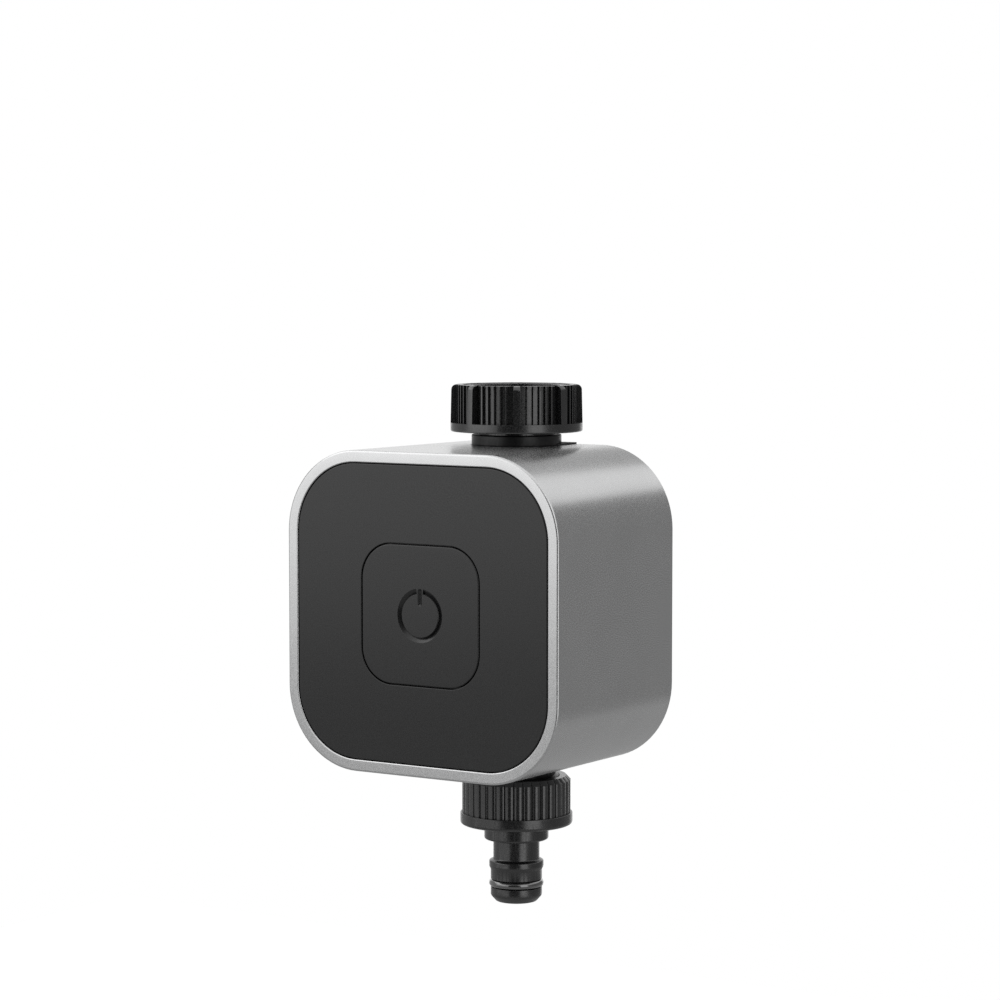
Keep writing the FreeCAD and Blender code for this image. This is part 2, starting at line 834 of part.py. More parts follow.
# The valve: the pipe runs through it, and its seat looks forwards
nipple_low = -collar_high - d.nipple_length
seat_front = d.flange_front - d.seat_drop
annulus_back = d.flange_front - d.annulus_depth
bonnet_back = d.flange_front + d.diaphragm
disc_back = seat_front + d.tight_gap
disc_front = disc_back + d.poppet_disc
web_back = disc_front + d.fit_gap
web_front = web_back + d.diaphragm_web
plate_back = web_front + d.fit_gap
plate_front = plate_back + d.poppet_disc
pin_front = plate_front + d.poppet_pin
dome_front = pin_front + d.poppet_lift + d.dome_play
bonnet_front = dome_front + d.bonnet_roof
lug_places = [(side * d.lug_reach, 0) for side in (-1, 1)]
valve_screw_places = four(d.valve_screw_circle * HALF_ROOT, d.valve_screw_circle * HALF_ROOT)


def valve_body():
    """Moulded valve: pipe with a collar at each end, outlet thread, and the diaphragm's chamber."""
    body = new_body("valve_body")
    turned(body, "pipe", polygon(
        (0, nipple_low), (d.nipple_radius, nipple_low), (d.nipple_radius, -collar_high),
        (d.collar_radius, -collar_high), (d.collar_radius, -inner_half), (d.pipe_radius, -inner_half),
        (d.pipe_radius, inner_half), (d.collar_radius, inner_half), (d.collar_radius, collar_high),
        (0, collar_high)))
    flange_back = d.flange_front - d.flange
    turned_forward(body, "chamber", (0, -d.chamber_back), (d.chamber_radius, -d.chamber_back),
                   (d.chamber_radius, flange_back), (d.flange_radius, flange_back),
                   (d.flange_radius, d.flange_front), (0, d.flange_front))
    slab(body, "screw_bosses", d.valve_boss_back, flange_back,
         *[circle(d.valve_boss_radius, x, z) for x, z in valve_screw_places])
    root = d.chamber_radius - d.lug_half_depth
    for name, left, right in (("left", -d.lug_reach, -root), ("right", root, d.lug_reach)):
        slab(body, name + "_lug_web", -d.lug_half_depth, d.lug_half_depth,
             rectangle(left, right, -d.lug_radius, d.lug_radius))
    lugs = [circle(d.lug_radius, x, z) for x, z in lug_places]
    slab(body, "lugs", -d.lug_half_depth, d.lug_half_depth, *lugs)
    socket_foot = collar_high - d.socket_depth
    turned(body, "inlet_bore", polygon(
        (0, d.inlet_bore_foot), (d.pipe_bore, d.inlet_bore_foot), (d.pipe_bore, socket_foot),
        (d.socket_bore, socket_foot), (d.socket_bore, collar_high), (0, collar_high)), cut=True)
    turned(body, "clip_groove", level_band(d.pipe_bore, d.socket_bore + d.clip_bite + d.fit_gap,
                                           clip_low - d.fit_gap, clip_high + d.fit_gap), cut=True)
    turned(body, "outlet_bore", polygon(
        (0, nipple_low), (d.pipe_bore, nipple_low), (d.pipe_bore, d.outlet_bore_head),
        (0, d.outlet_bore_head)), cut=True)
    turned_forward(body, "annulus", (d.seat_radius, annulus_back), (d.annulus_radius, annulus_back),
                   (d.annulus_radius, d.flange_front), (d.seat_radius, d.flange_front), cut=True)
    turned_forward(body, "seat_bore", (0, 0), (d.seat_bore, 0), (d.seat_bore, seat_front),
                   (d.seat_radius, seat_front), (d.seat_radius, d.flange_front), (0, d.flange_front), cut=True)
    sink(body, "inlet_passage", 0, annulus_back + d.small_edge,
         rectangle(-d.passage_half, d.passage_half, d.inlet_bore_foot, d.annulus_radius - d.small_edge))
    sink(body, "valve_screw_holes", d.valve_screw_tip - d.tip_play, d.flange_front,
         *[circle(d.screw_radius + d.tight_gap, x, z) for x, z in valve_screw_places])
    sink(body, "lug_holes", -d.lug_half_depth, d.lug_half_depth,
         *[circle(d.screw_radius + d.fit_gap, x, z) for x, z in lug_places])
    soften(body, "collar_edges", d.small_edge, lambda edge: on_circle(d.collar_radius, collar_high)(edge)
           or on_circle(d.collar_radius, -collar_high)(edge))
    soften(body, "thread_lead", d.nipple_lead, on_circle(d.nipple_radius, nipple_low), "Chamfer")
    return body


def diaphragm():
    """Rubber diaphragm: clamped rim, and a thin convolution round its middle."""
    body = new_body("diaphragm")
    hole = d.poppet_neck_radius + d.fit_gap
    fold = d.seat_radius + d.poppet_disc
    fold_back = web_back - d.convolution
    fold_front = web_front - d.convolution
    clamp = d.annulus_radius - d.convolution_reach
    turned_forward(body, "sheet", (hole, web_back), (fold, web_back), (fold + d.convolution_reach, fold_back),
                   (clamp - d.convolution_reach, fold_back), (clamp, d.flange_front),
                   (d.flange_radius, d.flange_front), (d.flange_radius, bonnet_back),
                   (clamp - d.convolution_reach, bonnet_back),
                   (clamp - d.convolution_reach * 1.5, fold_front), (fold + d.convolution_reach, fold_front),
                   (fold, web_front), (hole, web_front))
    sink(body, "screw_holes", d.flange_front - d.diaphragm, bonnet_back,
         *[circle(d.screw_radius + d.fit_gap, x, z) for x, z in valve_screw_places])
    return body


def poppet():
    """Stiff heart of the diaphragm: a rubber-faced disc on the seat, a neck through the sheet and a cap."""
    body = new_body("poppet")
    rim = d.seat_radius - d.poppet_rim
    plate = rim - d.poppet_step
    turned_forward(body, "disc", (0, disc_back), (rim, disc_back), (rim, disc_front),
                   (d.poppet_neck_radius, disc_front), (d.poppet_neck_radius, plate_back), (plate, plate_back),
                   (plate, plate_front), (d.poppet_pin_radius, plate_front), (d.poppet_pin_radius, pin_front),
                   (0, pin_front))
    return body


def helix_spring(label, radius, wire, back, front, turns):
    """A compression spring about the axis that runs from back to front."""
    body = new_body(label)
    sketch = sketch_on(body, "XY_Plane", "wire_section")
    circle(wire, radius, -(back + wire))(sketch)
    spring = body.newObject("PartDesign::AdditiveHelix", "coil")
    spring.Profile = sketch
    spring.ReferenceAxis = (sketch, ["V_Axis"])
    spring.Mode = "height-turns-growth"
    spring.Turns = turns
    spring.Reversed = True
    bind(spring, "Height", front - back - wire * 2)
    body.Tip = spring
    return body


def diaphragm_spring():
    return helix_spring("diaphragm_spring", d.diaphragm_spring_radius, d.diaphragm_spring_wire,
                        plate_front + d.tight_gap, dome_front - d.tight_gap, 3)


def bonnet():
    """Cover of the valve: dome over the diaphragm, pilot hole, and the tube that guides the plunger."""
    body = new_body("bonnet")
    guide_front = bonnet_front + d.guide_length
    turned_forward(body, "cover", (0, bonnet_back),
                   (d.flange_radius, bonnet_back), (d.flange_radius, bonnet_front),
                   (d.guide_radius, bonnet_front), (d.guide_radius, guide_front), (0, guide_front))
    turned_forward(body, "dome", (0, bonnet_back), (d.annulus_radius, bonnet_back),
                   (d.annulus_radius - d.dome_slope, dome_front), (0, dome_front), cut=True)
    turned_forward(body, "guide_bore", (0, bonnet_front), (d.guide_bore, bonnet_front),
                   (d.guide_bore, guide_front), (0, guide_front), cut=True)
    turned_forward(body, "pilot_hole", (0, dome_front), (d.pilot_radius, dome_front),
                   (d.pilot_radius, bonnet_front), (0, bonnet_front), cut=True)
    sink(body, "screw_holes", bonnet_back, bonnet_front,
         *[circle(d.screw_radius + d.fit_gap, x, z) for x, z in valve_screw_places])
    sink(body, "screw_seats", bonnet_front - d.screw_head - d.fit_gap, bonnet_front,
         *[circle(d.screw_head_radius + d.counterbore_play, x, z) for x, z in valve_screw_places])
    return body


def bonnet_screws():
    return screws("bonnet_screws", valve_screw_places, d.screw_radius, d.screw_head_radius,
                  d.valve_screw_tip, bonnet_front - d.screw_head - d.fit_gap, d.screw_head)


def valve_screws():
    """Two screws through the valve's lugs into the rear housing."""
    return screws("valve_screws", lug_places, d.screw_radius, d.screw_head_radius,
                  d.lug_half_depth + d.screw_head - d.frame_screw_length, d.lug_half_depth, d.screw_head)


# The pilot solenoid stands on the bonnet's guide tube
coil_back = bonnet_front + d.coil_stand
coil_front = coil_back + d.coil_length
plunger_back = bonnet_front + d.plunger_lift_off
plunger_front = plunger_back + d.plunger_length
core_back = plunger_front + d.plunger_stroke
core_front = core_back + d.core_length
hollow_floor = plunger_front - d.plunger_hollow
coil_inside = d.guide_radius + d.fit_gap
winding_inside = coil_inside + d.coil_tube


def plunger():
    """Steel plunger with a rubber tip over the pilot hole, hollow at the front for its spring."""
    body = new_body("plunger")
    radius = d.guide_bore - d.tight_gap
    turned_forward(body, "rod", (0, plunger_back), (d.plunger_tip_radius, plunger_back),
                   (radius, plunger_back + d.plunger_tip), (radius, plunger_front),
                   (d.plunger_hollow_radius, plunger_front), (d.plunger_hollow_radius, hollow_floor),
                   (0, hollow_floor))
    return body


def plunger_spring():
    return helix_spring("plunger_spring", d.plunger_spring_radius, d.plunger_spring_wire,
                        hollow_floor + d.fit_gap, core_back - d.tight_gap, 5)


def solenoid_core():
    """Fixed steel core that closes the guide tube."""
    body = new_body("solenoid_core")
    radius = d.guide_bore - d.tight_gap
    turned_forward(body, "core", (0, core_back), (radius, core_back), (radius, core_front), (0, core_front))
    return body


def solenoid_bobbin():
    """Moulded bobbin with a flange at each end."""
    body = new_body("solenoid_bobbin")
    rim = d.coil_radius + d.coil_rim
    turned_forward(body, "bobbin", (coil_inside, coil_back), (rim, coil_back), (rim, coil_back + d.coil_flange),
                   (winding_inside, coil_back + d.coil_flange), (winding_inside, coil_front - d.coil_flange),
                   (rim, coil_front - d.coil_flange), (rim, coil_front), (coil_inside, coil_front))
    return body


def coil_winding():
    """The copper winding, as one solid of its outer shape."""
    body = new_body("coil_winding")
    inside = winding_inside + d.tight_gap
    back = coil_back + d.coil_flange
    front = coil_front - d.coil_flange
    turned_forward(body, "winding",
                   (inside, back), (d.coil_radius, back), (d.coil_radius, front), (inside, front))
    return body


def coil_pins():
    """Two pins that carry the winding's current from the bobbin to the board."""
    body = new_body("coil_pins", several=True)
    slab(body, "pins", coil_front, d.board_back,
         *[circle(d.coil_pin_radius, side * d.coil_pin_across, -d.coil_pin_drop) for side in (-1, 1)])
    return body


def solenoid_yoke():
    """Bent steel strap round the coil, held by the core."""
    body = new_body("solenoid_yoke")
    side = d.coil_radius + d.yoke_gap
    outside = side + d.yoke_sheet
    half = d.yoke_half_width
    window_back = bonnet_front + d.float_gap
    window_front = coil_front + d.float_gap
    slab(body, "strap", window_back, window_front + d.yoke_sheet, rectangle(-outside, outside, -half, half))
    sink(body, "window", window_back, window_front, rectangle(-side, side, -half - d.fit_gap, half + d.fit_gap))
    sink(body, "core_hole", window_front, window_front + d.yoke_sheet, circle(d.guide_bore))
    return body


# Inner frame: the bulkhead between the wet rear and the dry front, with the cells' cradles
frame_front = d.frame_back + d.frame_plate
frame_half = inner_half - d.slide_gap - d.fit_gap
frame_corner = inner_corner - d.slide_gap - d.fit_gap
frame_rim_back = d.frame_back - d.frame_rim_back
gasket_back = frame_rim_back + d.gasket_inset
gasket_front = gasket_back + d.gasket_width
cradle_half_length = (d.cell_length + d.spring_room) / 2 + d.contact_sheet
cradle_high = cradle_half_length + d.cradle_end_wall
cradle_half_width = d.cell_radius + d.cell_play + d.cradle_side
cell_across = frame_half - d.cell_from_side
post_places = four(frame_half - d.post_from_side, cradle_high + d.post_from_cradle)
board_half_height = cradle_half_length + d.board_past_cradle
pillar_places = four(d.board_half_width - d.board_screw_inset, board_half_height - d.board_screw_drop)


def inner_frame():
    """Moulded bulkhead: plate, thick rim with the gasket's groove, two cradles and the board's pillars."""
    body = new_body("inner_frame")
    slab(body, "plate", d.frame_back, frame_front, square(frame_half, frame_corner))
    slab(body, "rim", frame_rim_back, frame_rim_back + d.frame_rim, square(frame_half, frame_corner),
         square(frame_half - d.frame_rim_wall, frame_corner - d.frame_rim_wall))
    sink(body, "gasket_groove", gasket_back - d.fit_gap, gasket_front + d.fit_gap,
         square(inner_half, inner_corner),
         square(frame_half - d.gasket_depth, frame_corner - d.gasket_depth))
    room = d.coil_radius + d.yoke_gap + d.yoke_sheet + d.solenoid_room
    slab(body, "splash_tube", frame_front, frame_front + d.splash_rise, circle(room + d.splash_wall))
    sink(body, "solenoid_opening", d.frame_back, frame_front + d.splash_rise, circle(room))
    for name, side in (("left", -1), ("right", 1)):
        middle = side * cell_across
        left = middle - cradle_half_width
        right = middle + cradle_half_width
        cradle = rectangle(left, right, -cradle_high, cradle_high)
        slab(body, name + "_cradle", frame_front, d.cell_depth, cradle)
        for place, low, high in (("top", cradle_half_length, cradle_high),
                                 ("bottom", -cradle_high, -cradle_half_length)):
            slab(body, f"{name}_{place}_wall", d.cell_depth, d.cell_depth + d.cell_radius,
                 rectangle(left, right, low, high))
        shaft(body, name + "_trough", -cradle_half_length, cradle_half_length,
              circle(d.cell_radius + d.cell_play, middle, -d.cell_depth))
    pillars = [circle(d.pillar_radius, x, z) for x, z in pillar_places]
    slab(body, "pillars", frame_front, d.board_back, *pillars)
    sink(body, "pillar_holes", d.board_back - d.board_screw_length - d.tip_play, d.board_back,
         *[circle(d.small_screw_radius + d.tight_gap, x, z) for x, z in pillar_places])
    sink(body, "frame_screw_holes", d.frame_back, frame_front,
         *[circle(d.screw_radius + d.fit_gap, x, z) for x, z in post_places])
    return body


def housing_gasket():
    """Rubber ring in the frame's groove, against the inside of the case."""
    body = new_body("housing_gasket")
    depth = d.gasket_depth - d.tight_gap
    slab(body, "ring", gasket_back, gasket_front,
         square(frame_half + d.gasket_proud, frame_corner + d.gasket_proud),
         square(frame_half - depth, frame_corner - depth))
    return body


def frame_screws():
    return screws("frame_screws", post_places, d.screw_radius, d.screw_head_radius,
                  frame_front - d.frame_screw_length, frame_front, d.screw_head)


def rear_housing():
    """Rear tray: back plate, wall inside the case, posts for the frame and a tongue beside each pipe collar."""
    body = new_body("rear_housing")
    half = inner_half - d.slide_gap
    corner = inner_corner - d.slide_gap
    plate_front = d.back_plate - d.case_back
    tray_front = frame_rim_back - d.tight_gap
    slab(body, "tray", -d.case_back, tray_front, square(half, corner))
    sink(body, "tray_hollow", plate_front, tray_front, square(half - d.rear_wall, corner - d.rear_wall))
    tongue_high = d.case_half + d.tongue_proud
    wall_inside = half - d.rear_wall
    for name, low, high in (("top", wall_inside, tongue_high), ("bottom", -tongue_high, -wall_inside)):
        column(body, name + "_tongue", low, high,
               rectangle(-d.collar_radius, d.collar_radius, 0, d.case_back))
    collar_room = inner_half - d.fit_gap
    for name, low, high in (("top", collar_room, tongue_high), ("bottom", -tongue_high, -collar_room)):
        shaft(body, name + "_collar_room", low, high, circle(d.collar_radius + d.fit_gap))
    room = d.pipe_radius + d.slide_gap
    shaft(body, "pipe_channel", -tongue_high, tongue_high, circle(room))
    slot_start = wall_inside - d.fit_gap
    for name, low, high in (("top", slot_start, tongue_high), ("bottom", -tongue_high, -slot_start)):
        shaft(body, name + "_pipe_slot", low, high, rectangle(-room, room, -frame_rim_back, 0))
    slab(body, "posts", plate_front, d.frame_back, *[circle(d.post_radius, x, z) for x, z in post_places])
    sink(body, "post_holes", frame_front - d.frame_screw_length - d.tip_play, d.frame_back,
         *[circle(d.screw_radius + d.tight_gap, x, z) for x, z in post_places])
    lug_screw_tip = d.lug_half_depth + d.screw_head - d.frame_screw_length
    lug_posts = [circle(d.post_radius, x, z) for x, z in lug_places]
    slab(body, "lug_posts", plate_front, -d.lug_half_depth, *lug_posts)
    sink(body, "lug_post_holes", lug_screw_tip - d.tip_play, -d.lug_half_depth,
         *[circle(d.screw_radius + d.tight_gap, x, z) for x, z in lug_places])
    soften(body, "back_edge", d.small_edge, on_square(half, corner, -d.case_back), "Chamfer")
    return body


def circuit_board():
    """The board, with a hole over each pillar."""
    body = new_body("circuit_board")
    outline = rounded(d.board_half_width, board_half_height, d.board_corner)
    slab(body, "board", d.board_back, board_front, outline)
    sink(body, "holes", d.board_back, board_front,
         *[circle(d.small_screw_radius + d.fit_gap * 2, x, z) for x, z in pillar_places])
    return body


def board_screws():
    return screws("board_screws", pillar_places, d.small_screw_radius, d.small_head_radius,
                  d.board_back - d.board_screw_length, board_front, d.small_head)


def tactile_switch():
    """Switch at the middle of the board, behind the button."""
    body = new_body("tactile_switch")
    body_front = board_front + d.switch_body
    slab(body, "case", board_front, body_front, square(d.switch_half, d.switch_corner))
    slab(body, "cap", body_front, switch_top, circle(d.switch_cap_radius))
    return body


def radio_module():
    """Shielded radio module, on the front of the board above the switch."""
    body = new_body("radio_module")
    high = board_half_height - d.radio_inset
    low = high - d.radio_length
    carrier_front = board_front + d.radio_sheet
    shield = d.radio_half_width - d.shield_margin
    shield_low = low + d.shield_margin
    carrier = rectangle(-d.radio_half_width, d.radio_half_width, low, high)
    slab(body, "carrier", board_front, carrier_front, carrier)
    slab(body, "shield", carrier_front, carrier_front + d.shield_rise,
         rectangle(-shield, shield, shield_low, shield_low + d.shield_length))
    return body


# Flat parts: their middle in shares of the board's half width and height, then half width and half height
CHIPS = ((0.0, -0.5, 5.0, 5.0), (0.5, -0.23, 2.5, 3.5), (-0.54, -0.21, 2.5, 2.0), (0.5, 0.2, 1.5, 1.5))
CAPACITOR_PLACE = (0.48, -0.66)
SOCKET_PLACE = (0.39, -0.7)


def on_board(share_across, share_up):
    return d.board_half_width * share_across, board_half_height * share_up


def around(middle_x, middle_z, half_width, half_height):
    return rectangle(middle_x - half_width, middle_x + half_width, middle_z - half_height, middle_z + half_height)


def board_components():
    """Larger parts of the board: chips and a storage capacitor in front, and two sockets at the back."""
    body = new_body("board_components", several=True)
    flat = [around(*on_board(x, z), as_size(width), as_size(height)) for x, z, width, height in CHIPS]
    slab(body, "flat_parts", board_front, board_front + d.chip, *flat)
    slab(body, "capacitor", board_front, board_front + d.capacitor,
         circle(d.capacitor_radius, *on_board(*CAPACITOR_PLACE)))
    across, up = on_board(*SOCKET_PLACE)
    slab(body, "sockets", d.board_back - d.socket, d.board_back,
         *[around(side * across, up, d.socket_half_width, d.socket_half_height) for side in (-1, 1)])
    return body


def cell(label, side, up):
    """A round cell: can, shoulder and nub. up is 1 when the nub is at the top."""
    body = new_body(label, side * cell_across, d.cell_depth)
    tip = up * (cradle_half_length - d.contact_sheet - d.tight_gap)
    base = tip - up * d.cell_length
    shoulder = tip - up * d.cell_nub
    neck = d.cell_radius - d.cell_edge
    turned(body, "can", polygon(
        (0, base), (neck, base), (d.cell_radius, base + up * d.cell_edge),
        (d.cell_radius, shoulder - up * d.cell_edge), (neck, shoulder),
        (d.cell_nub_radius, shoulder), (d.cell_nub_radius, tip), (0, tip)))
    return body


def contact_outline(side):
    """Outline of one contact: a plate at the cell's end with a tab that runs to the board."""
    outer = side * (cell_across + d.contact_half)
    inner = side * (cell_across - d.contact_half)
    tab = side * (d.board_half_width - d.contact_tab)
    bend = side * (cell_across - d.contact_half - d.contact_tab)
    tab_back = d.contact_tab - d.board_back
    return polygon((outer, d.contact_half - d.cell_depth), (outer, -d.cell_depth - d.contact_half),
                   (inner, tab_back), (inner, -d.board_back), (tab, -d.board_back), (tab, tab_back),
                   (bend, tab_back), (inner, d.contact_half - d.cell_depth))


def battery_contacts():
    """Four bent sheet contacts, one at each end of each cell."""
    body = new_body("battery_contacts", several=True)
    high = cradle_half_length - d.tight_gap
    low = cradle_half_length - d.contact_sheet
    for name, bottom, top in (("top_pair", low, high), ("bottom_pair", -high, -low)):
        column(body, name, bottom, top, contact_outline(-1), contact_outline(1))
    return body


def battery_spring(label, side, up):
    """Spring between a cell's flat end and its contact."""
    body = new_body(label, side * cell_across, d.cell_depth)
    room = d.spring_room - d.tight_gap
    wire = d.contact_wire
    foot = -up * (cradle_half_length - d.contact_sheet - wire)
    sketch = sketch_on(body, "XZ_Plane", "wire_section")
    circle(wire, d.contact_spring_radius, foot)(sketch)
    spring = body.newObject("PartDesign::AdditiveHelix", "coil")
    spring.Profile = sketch
    spring.ReferenceAxis = (sketch, ["V_Axis"])
    spring.Mode = "height-turns-growth"
    spring.Turns = 2.5
    spring.Reversed = up < 0
    bind(spring, "Height", room - wire * 2 - d.tight_gap)
    body.Tip = spring
    return body


# The hose connector: threaded cap and quick spigot in one moulding, on the valve's outlet thread
washer_top = nipple_low - d.tight_gap
washer_low = washer_top - d.outlet_washer
connector_top = -d.case_half - d.connector_gap
connector_ring_top = connector_top - d.connector_cap
connector_floor = connector_ring_top - d.connector_ring
step_end = connector_floor - d.step_length
latch_top = step_end - d.spigot_neck
latch_end = latch_top - d.latch_length
spigot_seal_height = latch_end - d.seal_below_latch
spigot_end = spigot_seal_height - d.spigot_tip
GRIP_GROOVE_COUNT = 36


def outlet_washer():
    body = new_body("outlet_washer")
    turned(body, "washer", level_band(d.spigot_bore + d.outlet_washer_inside, d.nipple_radius - d.tip_play,
                                      washer_low, washer_top))
    return body


def outlet_connector():
    """Turned profile from the threaded cap down to the spigot's tip, with grip grooves round the cap."""
    body = new_body("outlet_connector")
    seat = washer_low - d.tight_gap
    seal_half = d.spigot_seal_wire + d.tight_gap
    seal_root = d.spigot_seal_radius - d.spigot_seal_wire * 2
    turned(body, "profile", polygon(
        (d.connector_bore, connector_top), (d.connector_radius - d.connector_chamfer, connector_top),
        (d.connector_radius, connector_top - d.connector_chamfer), (d.connector_radius, connector_ring_top),
        (d.connector_ring_radius, connector_ring_top), (d.connector_ring_radius, connector_floor),
        (d.step_radius, connector_floor), (d.step_radius, step_end), (d.spigot_neck_radius, step_end),
        (d.spigot_neck_radius, latch_top), (d.latch_radius, latch_top - d.latch_lead),
        (d.latch_radius, latch_end + d.latch_back), (d.spigot_radius, latch_end),
        (d.spigot_radius, spigot_seal_height + seal_half), (seal_root, spigot_seal_height + seal_half),
        (seal_root, spigot_seal_height - seal_half), (d.spigot_radius, spigot_seal_height - seal_half),
        (d.spigot_radius, spigot_end + d.tip_length), (d.spigot_radius - d.tip_taper, spigot_end),
        (d.spigot_bore, spigot_end), (d.spigot_bore, seat), (d.connector_bore, seat)))
    soften(body, "ring_edge", d.ring_round, on_circle(d.connector_ring_radius, connector_floor))
    soften(body, "step_edge", d.step_round, on_circle(d.step_radius, step_end))
    groove = shaft(body, "grip_groove", connector_ring_top, connector_top,
                   rectangle(d.connector_radius - d.grip_groove_depth, d.connector_ring_radius,
                             -d.grip_groove / 2, d.grip_groove / 2))
    repeat_around(body, "grip_grooves", groove, GRIP_GROOVE_COUNT)
    return body


def spigot_seal():
    slack = d.tight_gap / 2
    return ring_seal("spigot_seal", d.spigot_seal_radius - d.spigot_seal_wire + slack,
                     d.spigot_seal_wire - slack, spigot_seal_height)


pieces = [
    outer_shell(), front_panel(), push_button(), button_membrane(), membrane_retainer(), retainer_screws(),
    inlet_union_nut(), thread_adapter(), inlet_tailpiece(), tailpiece_seal(), tailpiece_clip(), inlet_washer(),
    inlet_strainer(),
    valve_body(), diaphragm(), poppet(), diaphragm_spring(), bonnet(), bonnet_screws(), valve_screws(),
    plunger(), plunger_spring(), solenoid_core(), solenoid_bobbin(), coil_winding(), coil_pins(), solenoid_yoke(),
    inner_frame(), housing_gasket(), frame_screws(), rear_housing(),
    circuit_board(), board_screws(), tactile_switch(), radio_module(), board_components(),
    cell("battery_left", -1, 1), cell("battery_right", 1, -1), battery_contacts(),
    battery_spring("battery_spring_left", -1, 1), battery_spring("battery_spring_right", 1, -1),
    outlet_washer(), outlet_connector(), spigot_seal(),
]

doc.recompute()
for thing in doc.Objects:
    if {"Invalid", "Error"} & set(thing.State):
        raise RuntimeError(f"{thing.Label} failed: {thing.State}")
for piece in pieces:
    if piece.Shape.isNull() or not piece.Shape.isValid():
        raise RuntimeError(f"{piece.Label} has no valid shape")
for piece in pieces:
    piece.Shape.exportStep(f"parts/{piece.Label}.step")
    box = piece.Shape.BoundBox
    print(f"{piece.Label:22} {len(piece.Shape.Solids)} solids {piece.Shape.Volume:10.1f} mm3  "
          f"x {box.XMin:6.1f} {box.XMax:6.1f}  y {box.YMin:6.1f} {box.YMax:6.1f}  z {box.ZMin:7.1f} {box.ZMax:7.1f}")
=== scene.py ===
# %% [markdown]
# # A garden irrigation controller
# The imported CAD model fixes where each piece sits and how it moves. This lesson dresses it for the eye: small
# rounded edges, ribs and threads that the light can catch, and a finish for every casting, moulding and
# rubber. Everything is in metres. Z runs up along the water pipe, and the face with the button looks along
# -Y.

# %% Load the frame
import json
import math
import bmesh
import bpy
from mathutils import Matrix, Vector


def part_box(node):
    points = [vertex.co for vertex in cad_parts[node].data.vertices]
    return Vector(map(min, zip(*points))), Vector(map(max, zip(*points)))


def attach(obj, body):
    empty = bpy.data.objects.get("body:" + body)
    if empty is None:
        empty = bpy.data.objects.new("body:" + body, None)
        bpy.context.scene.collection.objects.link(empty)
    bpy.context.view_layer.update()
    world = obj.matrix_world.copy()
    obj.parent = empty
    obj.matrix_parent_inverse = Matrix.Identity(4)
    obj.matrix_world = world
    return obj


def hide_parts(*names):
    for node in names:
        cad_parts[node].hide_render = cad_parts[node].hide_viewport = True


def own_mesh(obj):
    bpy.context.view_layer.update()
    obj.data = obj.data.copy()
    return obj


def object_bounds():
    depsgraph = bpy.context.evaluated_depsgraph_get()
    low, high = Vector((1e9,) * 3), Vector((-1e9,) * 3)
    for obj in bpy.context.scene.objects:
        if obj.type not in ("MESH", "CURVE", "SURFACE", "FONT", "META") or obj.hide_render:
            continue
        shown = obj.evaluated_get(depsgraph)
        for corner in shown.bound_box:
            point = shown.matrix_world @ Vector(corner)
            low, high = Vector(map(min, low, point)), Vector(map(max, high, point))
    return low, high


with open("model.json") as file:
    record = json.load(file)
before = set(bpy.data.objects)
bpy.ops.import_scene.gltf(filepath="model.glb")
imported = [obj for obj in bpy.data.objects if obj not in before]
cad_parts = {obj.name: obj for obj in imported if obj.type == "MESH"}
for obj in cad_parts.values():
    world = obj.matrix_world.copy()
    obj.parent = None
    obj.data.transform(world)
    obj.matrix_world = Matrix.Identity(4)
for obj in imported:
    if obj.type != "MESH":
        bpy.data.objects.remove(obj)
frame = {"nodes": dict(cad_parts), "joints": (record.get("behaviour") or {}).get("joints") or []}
cad_low, cad_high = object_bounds()
for leftover in ("Cube", "Light", "Camera"):
    if leftover in bpy.data.objects:
        bpy.data.objects.remove(bpy.data.objects[leftover])
print("size", [round(side, 4) for side in cad_high - cad_low])

# %% Small helpers
MM = 0.001


def in_scene(name, data):
    """Adds an object with its data to the scene."""
    made = bpy.data.objects.new(name, data)
    bpy.context.scene.collection.objects.link(made)
    return made


def mesh_of(name, drawing):
    """Turns a drawing into a mesh, and closes the drawing."""
    mesh = bpy.data.meshes.new(name)
    drawing.to_mesh(mesh)
    drawing.free()
    return mesh


print("a drawing's unit is", MM, "m")

# %% [markdown]
# ## Camera
# A camera can be set by eye, or worked out from edges whose directions are known. The edges of the square
# case give it here: it stands 33 degrees round to the right and looks 4 degrees down through a long lens.

# %% Camera
lens = bpy.data.cameras.new("long_lens")
lens.sensor_width = 36
lens.lens = 110.9154
lens.clip_start = 0.01
camera = in_scene("camera", lens)
camera.location = (0.510221, -0.792549, 0.039916)
camera.rotation_euler = [math.radians(angle) for angle in (85.848689, 0, 33.080674)]
bpy.context.scene.camera = camera
print("camera", round(camera.location.length, 3), "m from the washer")

# %% [markdown]
# ## Floor, light and background
# A product shot needs a soft light from above and in front, a weaker one from the side, and a background that
# does not tint the object. The world looks white where the camera or a reflection sees it, and is dim as a
# lamp, so the lamps alone model the forms. Metal and glossy black show what stands round them, so cards that
# only reflections see stand there as in a studio: dim ones darken the sides, bright strips draw light lines
# on edges.

# %% Material helpers
def node(tree, kind, values=(), **settings):
    """Adds a shader node, and sets its properties and the values of its inputs."""
    made = tree.nodes.new(kind)
    for name, value in settings.items():
        setattr(made, name, value)
    for socket, value in dict(values).items():
        made.inputs[socket].default_value = value
    return made


def link(tree, *pairs):
    """Joins outputs to inputs."""
    for output, socket in pairs:
        tree.links.new(output, socket)


def bare_material(name):
    """A material whose surface is still to be wired."""
    material = bpy.data.materials.new(name)
    material.use_nodes = True
    material.node_tree.nodes.remove(material.node_tree.nodes["Principled BSDF"])
    return material


